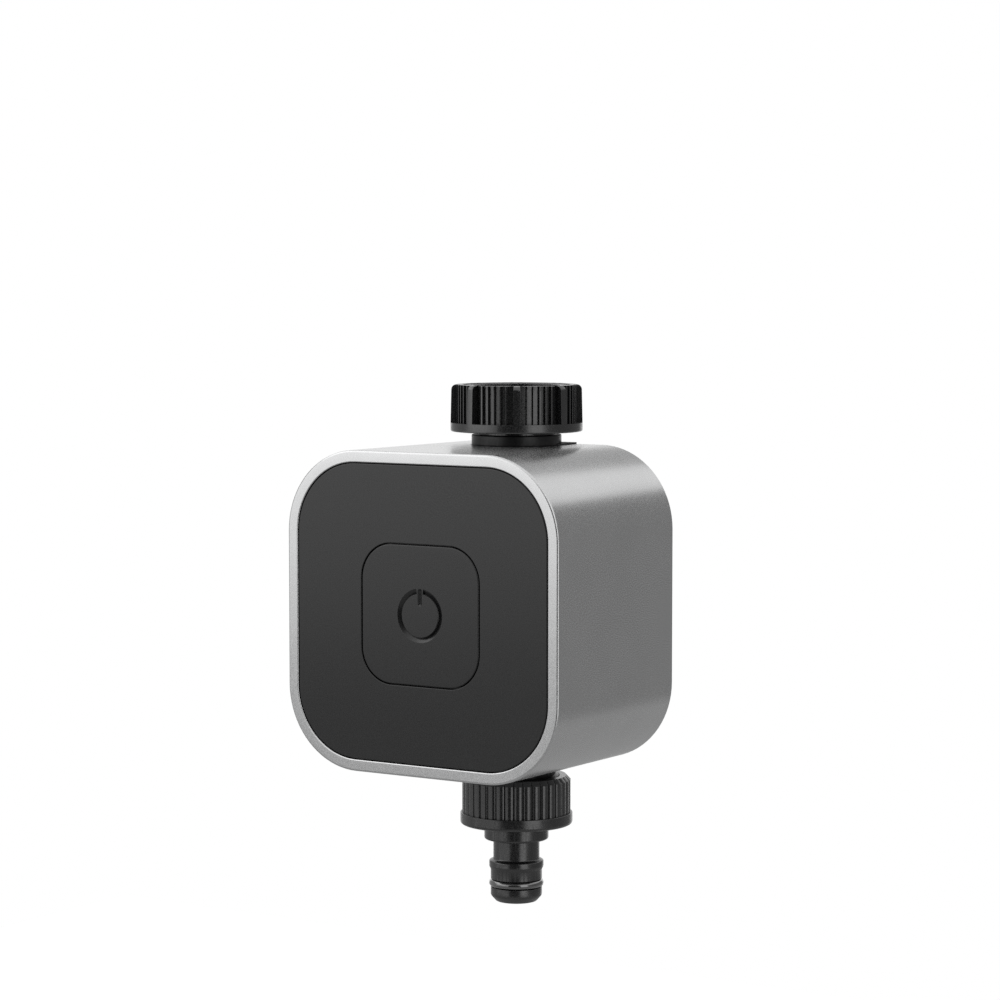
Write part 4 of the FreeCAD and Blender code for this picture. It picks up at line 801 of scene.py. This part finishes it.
def sunk_between(drawing, spans, sector, root, low, high):
    """Extrudes the outer faces within spans of angle inwards to a root radius."""
    drawing.normal_update()
    chosen = []
    for face in drawing.faces:
        centre = face.calc_center_median()
        angle = math.degrees(math.atan2(centre.y, centre.x)) % sector
        outward = face.normal.x * centre.x + face.normal.y * centre.y
        furthest = max(radius_at(point.co) for point in face.verts)
        if low < centre.z < high and outward > 0.01 and furthest > root:
            if any(start < angle < end for start, end in spans):
                chosen.append(face)
    made = bmesh.ops.extrude_face_region(drawing, geom=chosen)
    bmesh.ops.delete(drawing, geom=[face for face in chosen if face.is_valid], context="FACES")
    moved = [point for point in points_in(made["geom"]) if radius_at(point.co) > root]
    scaled_to(drawing, moved, root)
    cleaned(drawing, 0.002)
    return len(chosen)


# %% Union nut
nut_low, nut_high = outside("inlet_union_nut")
NUT_FLANGE_RADIUS = 20.22
NUT_FLANGE = 2.7
NUT_RADIUS = 19.96
NUT_SHOULDER = 1.5
NUT_THREAD_RADIUS = 16.65
NUT_HOLE = 11.6
NUT_FLOOR = 2.6
NARROW_RIB_RADIUS = 18.5
NUT_ROOT = 17.5
NUT_REST_ANGLE = 33.0
SECTOR = 45
WIDE_RIB_HALF = 3.0
NARROW_RIB_HALF = 0.9
flange_top = nut_low + NUT_FLANGE
nut_section = rounded_section(
    (NUT_HOLE, nut_low), (NUT_FLANGE_RADIUS, nut_low, 0.55), (NUT_FLANGE_RADIUS, flange_top),
    (NUT_RADIUS, nut_high, NUT_SHOULDER), (NUT_THREAD_RADIUS, nut_high, 0.3),
    (NUT_THREAD_RADIUS, nut_low + NUT_FLOOR), (NUT_HOLE, nut_low + NUT_FLOOR))
rib_stops = [0, WIDE_RIB_HALF]
for middle in (10, 16.2, 22.5, 28.8, 35):
    rib_stops += [middle - NARROW_RIB_HALF, middle + NARROW_RIB_HALF]
rib_stops += [SECTOR - WIDE_RIB_HALF, SECTOR]
nut_stops = sorted({turned * SECTOR + stop for turned in range(360 // SECTOR) for stop in rib_stops})
windows = list(zip(rib_stops[1:-1:2], rib_stops[2:-1:2]))


def on_a_rib(edge):
    """Whether an edge stands outside the roots and above the flange."""
    return (min(radius_at(end.co) for end in edge.verts) > NUT_ROOT + 0.2
            and max(end.co.z for end in edge.verts) > flange_top - 0.01)


nut = bmesh.new()
turned_in_steps(nut, nut_section, nut_stops)
between_wide_ribs = [(WIDE_RIB_HALF, SECTOR - WIDE_RIB_HALF)]
print(sunk_between(nut, between_wide_ribs, SECTOR, NARROW_RIB_RADIUS, flange_top, nut_high), "faces sunk")
print(sunk_between(nut, windows, SECTOR, NUT_ROOT, flange_top, nut_high), "faces sunk between all ribs")
print(soften_edges(nut, 0.22, on_a_rib), "rib edges rounded")
turn(nut, NUT_REST_ANGLE)
placed(nut, "union_nut", "inlet_nut", [NYLON_BLACK], ["inlet_union_nut"])

# %% [markdown]
# ## Pipe threads
# A screw thread is a tooth carried round and along at once. The spin tool does this when it is given a step
# along the axis, so one small tooth makes each thread. The inlet's and the outlet's both have 14 turns to the
# inch.

# %% Thread
PITCH = 25.4 / 14
INNER_ROOT = 13.4
INNER_CREST = 12.35


def thread(drawing, root, crest, low, high, start=0.0):
    """A helical tooth between two heights. root is the radius it stands on, and crest its tip."""
    half_foot, half_tip = PITCH * 0.42, PITCH * 0.08
    first = low + PITCH / 2
    turns = (high - low - PITCH) / PITCH
    steps = round(turns * 48)
    tooth = profile(drawing, [(root, first - half_foot), (crest, first - half_tip), (crest, first + half_tip),
                              (root, first + half_foot)], start)
    spin(drawing, tooth, math.tau * turns, steps, rise=turns * PITCH / steps)


adapter_thread = bmesh.new()
thread(adapter_thread, INNER_ROOT, INNER_CREST, nut_low + 7.4, nut_high - 0.3)
placed(adapter_thread, "adapter_thread", "inlet_nut", [NYLON_BLACK], flat_faces=False)

# %% [markdown]
# ## Valve pipe
# The valve body keeps its CAD form, which the collars above and below the case show. Only its outlet changes:
# the CAD solid has a plain cylinder at the thread's outside, so a merged copy has that cylinder drawn in to
# the thread's root, and a real thread is wound on it.

# %% Valve body with its thread
COLLAR_HIGH = 51.2
OUTLET_ROOT = 12.1
OUTLET_FOOT = 12.05
OUTLET_CREST = 13.1
OUTLET_WALL = (11.8, 13.3)
pipe_low = outside("valve_body")[0]
valve = drawing_of("valve_body")
bmesh.ops.remove_doubles(valve, verts=valve.verts[:], dist=0.002)
nipple = [point for point in valve.verts if point.co.z < -COLLAR_HIGH + 0.02
          and OUTLET_WALL[0] < radius_at(point.co) < OUTLET_WALL[1]]
scaled_to(valve, nipple, OUTLET_ROOT)
thread(valve, OUTLET_FOOT, OUTLET_CREST, pipe_low, -COLLAR_HIGH - 1.2)
print(len(nipple), "points drawn in to the thread's root")
# The valve pipe takes the darker, duller nylon: painted shade for the collar under the nut
placed(valve, "valve_pipe", "valve_module", [SHADED_PIPE_BLACK], ["valve_body"])

# %% [markdown]
# ## Hose connector
# The connector screws onto the outlet and ends in a quick spigot. Its section is turned in steps like the
# nut's. Round its cap run 36 soft grips: the points between two grips are drawn in along a circle's curve,
# which also notches the cap's slanted top. Cut grooves would have hard edges.

# %% Hose connector
spigot_end, connector_top = outside("outlet_connector")
CONNECTOR_BORE = 13.32
CAP_RADIUS = 16.74
CAP_CHAMFER = 1.35
RING_RADIUS = 17.32
STEP_RADIUS = 9.93
NECK_RADIUS = 7.14
LATCH_RADIUS = 8.4
SPIGOT_RADIUS = 7.93
GROOVE_RADIUS = 6.3
GROOVE_HALF = 1.3
TIP_RADIUS = 6.23
SPIGOT_BORE = 4.9
cap_end = connector_top - 11.45
ring_end = cap_end - 3.68
step_end = ring_end - 4.77
latch_top = step_end - 6.1
latch_end = latch_top - 3.3
seal_height = latch_end - 4.25
groove_top, groove_foot = seal_height + GROOVE_HALF, seal_height - GROOVE_HALF
washer_seat = pipe_low - 2.6
connector_section = rounded_section(
    (CONNECTOR_BORE, connector_top, 0.3), (CAP_RADIUS - CAP_CHAMFER, connector_top),
    (CAP_RADIUS, connector_top - CAP_CHAMFER), (CAP_RADIUS, cap_end), (RING_RADIUS, cap_end, 0.25),
    (RING_RADIUS, ring_end, 1.0), (STEP_RADIUS, ring_end, 0.2), (STEP_RADIUS, step_end, 0.7),
    (NECK_RADIUS, step_end, 0.5), (NECK_RADIUS, latch_top, 0.4), (LATCH_RADIUS, latch_top - 0.6, 0.3),
    (LATCH_RADIUS, latch_end + 0.9, 0.3), (SPIGOT_RADIUS, latch_end), (SPIGOT_RADIUS, groove_top, 0.12),
    (GROOVE_RADIUS, groove_top), (GROOVE_RADIUS, groove_foot), (SPIGOT_RADIUS, groove_foot, 0.12),
    (SPIGOT_RADIUS, spigot_end + 1.9, 0.5), (TIP_RADIUS, spigot_end, 0.4), (SPIGOT_BORE, spigot_end, 0.3),
    (SPIGOT_BORE, washer_seat), (CONNECTOR_BORE, washer_seat))
GRIPS = 36
GRIP_DEPTH = 0.75
HALF_GRIP = 180 / GRIPS
grip_steps = (-1, -0.93, -0.78, -0.5, -0.17, 0.17, 0.5, 0.78, 0.93)
grip_stops = [(grip * 2 + step + 1) * HALF_GRIP for grip in range(GRIPS) for step in grip_steps] + [360]
connector = bmesh.new()
turned_in_steps(connector, connector_section, grip_stops)
columns = {}
for point in connector.verts:
    if abs(radius_at(point.co) - CAP_RADIUS) < 0.01 and point.co.z > cap_end - 0.01:
        angle = math.degrees(math.atan2(point.co.y, point.co.x))
        across = round(angle % (HALF_GRIP * 2) / HALF_GRIP - 1, 2)
        columns.setdefault(across if across < 1 else -1, []).append(point)
for across, column in columns.items():
    scaled_to(connector, column, CAP_RADIUS - GRIP_DEPTH * (1 - math.sqrt(1 - across ** 2)))
print(len(columns), "columns of each grip rounded")
thread(connector, INNER_ROOT, INNER_CREST, washer_seat + 1.0, connector_top - 0.6, start=180)
placed(connector, "hose_connector", "hose_connector", [NYLON_BLACK], ["outlet_connector"])

# %% [markdown]
# The spigot's ring seal is a plain torus with a film of grease, so it is glossier than the nylon round it.

# %% Ring seals
def ring_seal(name, body, replaced, swell=1.0):
    """A torus as wide as the CAD ring it stands for, whose wire is thicker where the ring swells."""
    low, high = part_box(replaced)
    wire = swell * (high.z - low.z) / 2 / MM
    ring = bmesh.new()
    bmesh.ops.create_circle(ring, segments=16, radius=wire, matrix=Matrix.Rotation(math.pi / 2, 4, "X"))
    shift(ring, (high.x / MM - wire, 0, (high.z + low.z) / 2 / MM - MIDDLE / MM))
    spin(ring, ring.verts[:] + ring.edges[:], math.tau, 64, merge=True)
    placed(ring, name, body, [SEAL_RUBBER], [replaced], flat_faces=False)


ring_seal("spigot_ring", "hose_connector", "spigot_seal", swell=1.18)
ring_seal("tailpiece_ring", "valve_module", "tailpiece_seal")

# %% [markdown]
# ## Screws
# All screws have a low round head with a cross recess. One is drawn about its own axis, its recess is cut by
# two crossed wedges, and copies go to the places that the CAD model's heads have.

# %% Screws
def recess_bar(angle, radius, depth, height):
    """One bar of a cross recess: it narrows downwards from the top of the head."""
    tool = bmesh.new()
    bar = bmesh.ops.create_cube(tool, size=1, matrix=Matrix.Rotation(math.radians(angle), 4, "Z")
                                @ Matrix.Diagonal((radius * 2, radius * 0.42, depth * 2, 1)))
    resize(tool, (0.45, 0.45, 1), [point for point in bar["verts"] if point.co.z < 0])
    shift(tool, (0, 0, height))
    return tool


def screw_set(name, body, replaced, places, size, length, seat, forwards):
    """Equal screws at their places on the case, with their heads to the front or to the back."""
    shank, head, head_height = size
    one = bmesh.new()
    edge = head_height * 0.45
    spun(one, [(0, -length), (shank * 0.55, -length), (shank, -length + shank * 0.7), (shank, 0), (head, 0),
               (head, head_height - edge), (head - edge * 0.3, head_height - edge * 0.3),
               (head - edge, head_height), (0, head_height)], steps=32, closed=False)
    for angle in (0, 90):
        one = carved(one, recess_bar(angle, head * 0.62, head_height * 0.7, head_height))
    if not forwards:
        turn(one, 180, "X")
    shift(one, (0, 0, seat))
    facing_forwards(one)
    first = one.verts[:] + one.edges[:] + one.faces[:]
    for across, up in places[1:]:
        copy = bmesh.ops.duplicate(one, geom=first)
        shift(one, (across, 0, up), points_in(copy["geom"]))
    across, up = places[0]
    shift(one, (across, 0, up), points_in(first))
    placed(one, name, body, [STEEL], [replaced])


def span(name):
    """Depths of a CAD node, back and front, in millimetres."""
    low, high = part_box(name)
    return -high.y / MM, -low.y / MM


LARGE_SCREW = (1.25, 2.2, 1.8)
SMALL_SCREW = (0.9, 1.8, 1.2)
for label, kind, body, size, forwards in (
        ("retaining_screws", "retainer_screws", "front_housing", SMALL_SCREW, False),
        ("bonnet_fixings", "bonnet_screws", "valve_module", LARGE_SCREW, True),
        ("frame_fixings", "frame_screws", "valve_module", LARGE_SCREW, True),
        ("board_fixings", "board_screws", "valve_module", SMALL_SCREW, True),
        ("valve_fixings", "valve_screws", "valve_module", LARGE_SCREW, True)):
    head, height = size[1:]
    back, front = span(kind)
    across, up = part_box(kind)[1].x / MM - head, outside(kind)[1] - head
    rows = (0,) if kind == "valve_screws" else (-up, up)
    places = [(column, row) for column in (-across, across) for row in rows]
    seat = front - height if forwards else back + height
    length = seat - back if forwards else front - seat
    screw_set(label, body, kind, places, size, length, seat, forwards)

# %% [markdown]
# ## Coil and cells
# The coil's copper shows its top layer of wire, drawn as one scalloped section and spun. A cell is a steel
# can in a printed sleeve that folds over its shoulders, so the whole cell is one section, and its faces take
# their finish from where they lie: sleeve, pale band or bare metal.

# %% Coil
WIRE = 0.42
COIL_INSIDE = 5.4
coil_back, coil_front = span("coil_winding")
wires = round((coil_front - coil_back) / WIRE)
wire_pitch = (coil_front - coil_back) / wires
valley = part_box("coil_winding")[1].x / MM - wire_pitch / 2
coil_section = [(COIL_INSIDE, coil_back)]
for index in range(wires):
    for share in (0.0, 0.25, 0.5, 0.75):
        lift = math.sin(share * math.pi) * wire_pitch / 2
        coil_section.append((valley + lift, coil_back + (index + share) * wire_pitch))
coil_section += [(valley, coil_front), (COIL_INSIDE, coil_front)]
coil = bmesh.new()
spun(coil, coil_section, steps=64)
facing_forwards(coil)
placed(coil, "copper_winding", "valve_module", [COPPER], ["coil_winding"], sharp=80, flat_faces=False)

# %% Cells
BAND_START = 0.74
BARE_INSET = 1.15


def cell(name, replaced, up):
    """A round cell with its nub up or down: sleeve, band and bare ends."""
    low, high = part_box(replaced)
    radius = (high.x - low.x) / 2 / MM
    length = (high.z - low.z) / MM
    can = bmesh.new()
    spun(can, [(0, 0.35), (4.4, 0.35), (4.9, 0.1), (radius - 1.1, 0.1), (radius - 0.5, 0),
               (radius - 0.1, 0.25), (radius, 0.6), (radius, length - 2.1), (radius - 0.12, length - 1.7),
               (radius - 0.5, length - 1.3), (radius - 1.2, length - 1.3), (radius - 1.4, length - 1.6),
               (2.9, length - 1.6), (2.75, length - 1.3), (2.75, length - 0.4), (2.45, length - 0.05),
               (2.1, length), (0, length)], steps=64, closed=False)
    bmesh.ops.bisect_plane(can, geom=can.verts[:] + can.edges[:] + can.faces[:],
                           plane_co=(0, 0, length * BAND_START), plane_no=(0, 0, 1))
    for face in can.faces:
        centre = face.calc_center_median()
        if radius_at(centre) < radius - BARE_INSET:
            face.material_index = 2
        elif centre.z > length * BAND_START:
            face.material_index = 1
    if not up:
        turn(can, 180, "X", about=(0, 0, length / 2))
    shift(can, ((high.x + low.x) / 2 / MM, (high.y + low.y) / 2 / MM, (low.z - MIDDLE) / MM))
    placed(can, name, "valve_module", [JACKET, JACKET_BAND, NICKEL], [replaced])


for name, replaced in (("cell_on_the_left", "battery_left"), ("cell_on_the_right", "battery_right")):
    # The spring presses on the flat end, so the nub is at the other one
    spring_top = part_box(replaced.replace("battery", "battery_spring"))[1].z
    cell_low, cell_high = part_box(replaced)
    cell(name, replaced, spring_top < (cell_low.z + cell_high.z) / 2)

# %% [markdown]
# ## Small parts of the board
# The chips stand where the CAD model has their blocks, and get slanted edges and rows of legs. Small
# resistors and capacitors between them are bevelled blocks with bright ends.

# %% Board parts
board_back, board_front = span("circuit_board")
BOARD_HALF_WIDTH = 23.0
BOARD_HALF_HEIGHT = 28.0
CHIP_HEIGHT = 1.2
LEG_REACH = 0.75
LEG_PITCH = 0.8
LEG_WIDTH = 0.36


def block(drawing, middle, size, finish_index=0, edge=0.0):
    """A box at (across, depth, up) with its edges rounded."""
    across, depth, up = middle
    place = Matrix.Translation((across, -depth, up)) @ Matrix.Diagonal((*size, 1))
    made = bmesh.ops.create_cube(drawing, size=1, matrix=place)
    for face in {face for point in made["verts"] for face in point.link_faces}:
        face.material_index = finish_index
    if edge:
        bevelled(drawing, list({line for point in made["verts"] for line in point.link_edges}), edge, 1,
                 "EDGES", True)


parts = bmesh.new()
legs = 0
for share_x, share_z, half_width, half_height in ((0.0, -0.5, 5.0, 5.0), (0.5, -0.23, 2.5, 3.5),
                                                  (-0.54, -0.21, 2.5, 2.0), (0.5, 0.2, 1.5, 1.5)):
    x, z = BOARD_HALF_WIDTH * share_x, BOARD_HALF_HEIGHT * share_z
    body_half = half_width - LEG_REACH
    block(parts, (x, board_front + CHIP_HEIGHT / 2 + 0.05, z),
          (body_half * 2, CHIP_HEIGHT - 0.1, (half_height - 0.1) * 2), edge=0.12)
    count = max(2, int((half_height * 2 - 1) / LEG_PITCH))
    for index in range(count):
        up = z + (index - (count - 1) / 2) * LEG_PITCH
        for side in (-1, 1):
            block(parts, (x + side * (half_width - LEG_REACH / 2), board_front + 0.12, up),
                  (LEG_REACH, 0.14, LEG_WIDTH), 1)
            block(parts, (x + side * (body_half + 0.06), board_front + 0.35, up), (0.14, 0.5, LEG_WIDTH), 1)
            legs += 1
for side in (-1, 1):
    x, z = side * BOARD_HALF_WIDTH * 0.39, -BOARD_HALF_HEIGHT * 0.7
    block(parts, (x, board_back - 1.6, z), (8.0, 3.2, 5.0), edge=0.25)
    for pin in range(-1, 2):
        block(parts, (x + pin * 2.2, board_back - 3.15, z), (0.6, 0.1, 0.6), 1)
print(legs, "legs")

# %% Storage capacitor
can = bmesh.new()
spun(can, [(0, 0), (3.2, 0), (3.2, 0.5), (3.05, 0.62), (3.05, 0.75), (3.2, 0.9), (3.2, 2.0), (3.0, 2.2),
           (0, 2.2)], steps=40, closed=False)
for face in can.faces:
    face.material_index = 2
shift(can, (0, 0, board_front))
facing_forwards(can, BOARD_HALF_WIDTH * 0.48, -BOARD_HALF_HEIGHT * 0.66)
added(parts, can)
placed(parts, "board_parts", "valve_module", [CHIP_BLACK, TIN, TIN], ["board_components"])

# %% Resistors and small capacitors
END_OFFSET = 0.62
END_SIZE = (0.4, 0.54, 0.86)
level = board_front + 0.28
small = bmesh.new()
for x, z, step_x, step_z, count, upright in (
        (-8.5, -9.0, 0, 2.2, 3, False), (8.2, -16.0, 0, 0, 1, True), (6.0, -5.0, -2.0, 0, 3, True),
        (-17.0, 2.0, 0, 2.2, 4, False), (16.5, 10.0, -2.0, 0, 3, True), (16.0, 1.5, 0, -2.5, 2, False),
        (-14.0, -15.0, 2.0, 0, 3, True), (-16.0, -15.0, 0, 0, 1, True)):
    for index in range(count):
        across, up = x + step_x * index, z + step_z * index
        for share, size in ((0, (1.6, 0.5, 0.8)), (-END_OFFSET, END_SIZE), (END_OFFSET, END_SIZE)):
            place = (across, level, up + share) if upright else (across + share, level, up)
            block(small, place, size[::-1] if upright else size, int(share != 0), edge=0.05)
placed(small, "small_parts", "valve_module", [CREAM, TIN])

# %% [markdown]
# ## Springs
# The valve's two springs are squeezed when the valve opens. Each keeps the form that the CAD model gives it,
# as a merged copy in spring steel. Nothing here flattens it as its joint moves.

# %% Springs
for joint in frame["joints"]:
    for row in joint.get("deforming_nodes", []):
        name, fixed_end = row["node"], row["fixed_end_y_m"]
        if "spring" not in name:
            continue
        low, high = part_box(name)
        length = max(high.y, fixed_end) - min(low.y, fixed_end)
        spring = placed(drawing_of(name), "squeezed_" + name, "valve_module", [SPRING_STEEL], [name],
                        flat_faces=False)
        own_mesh(spring)
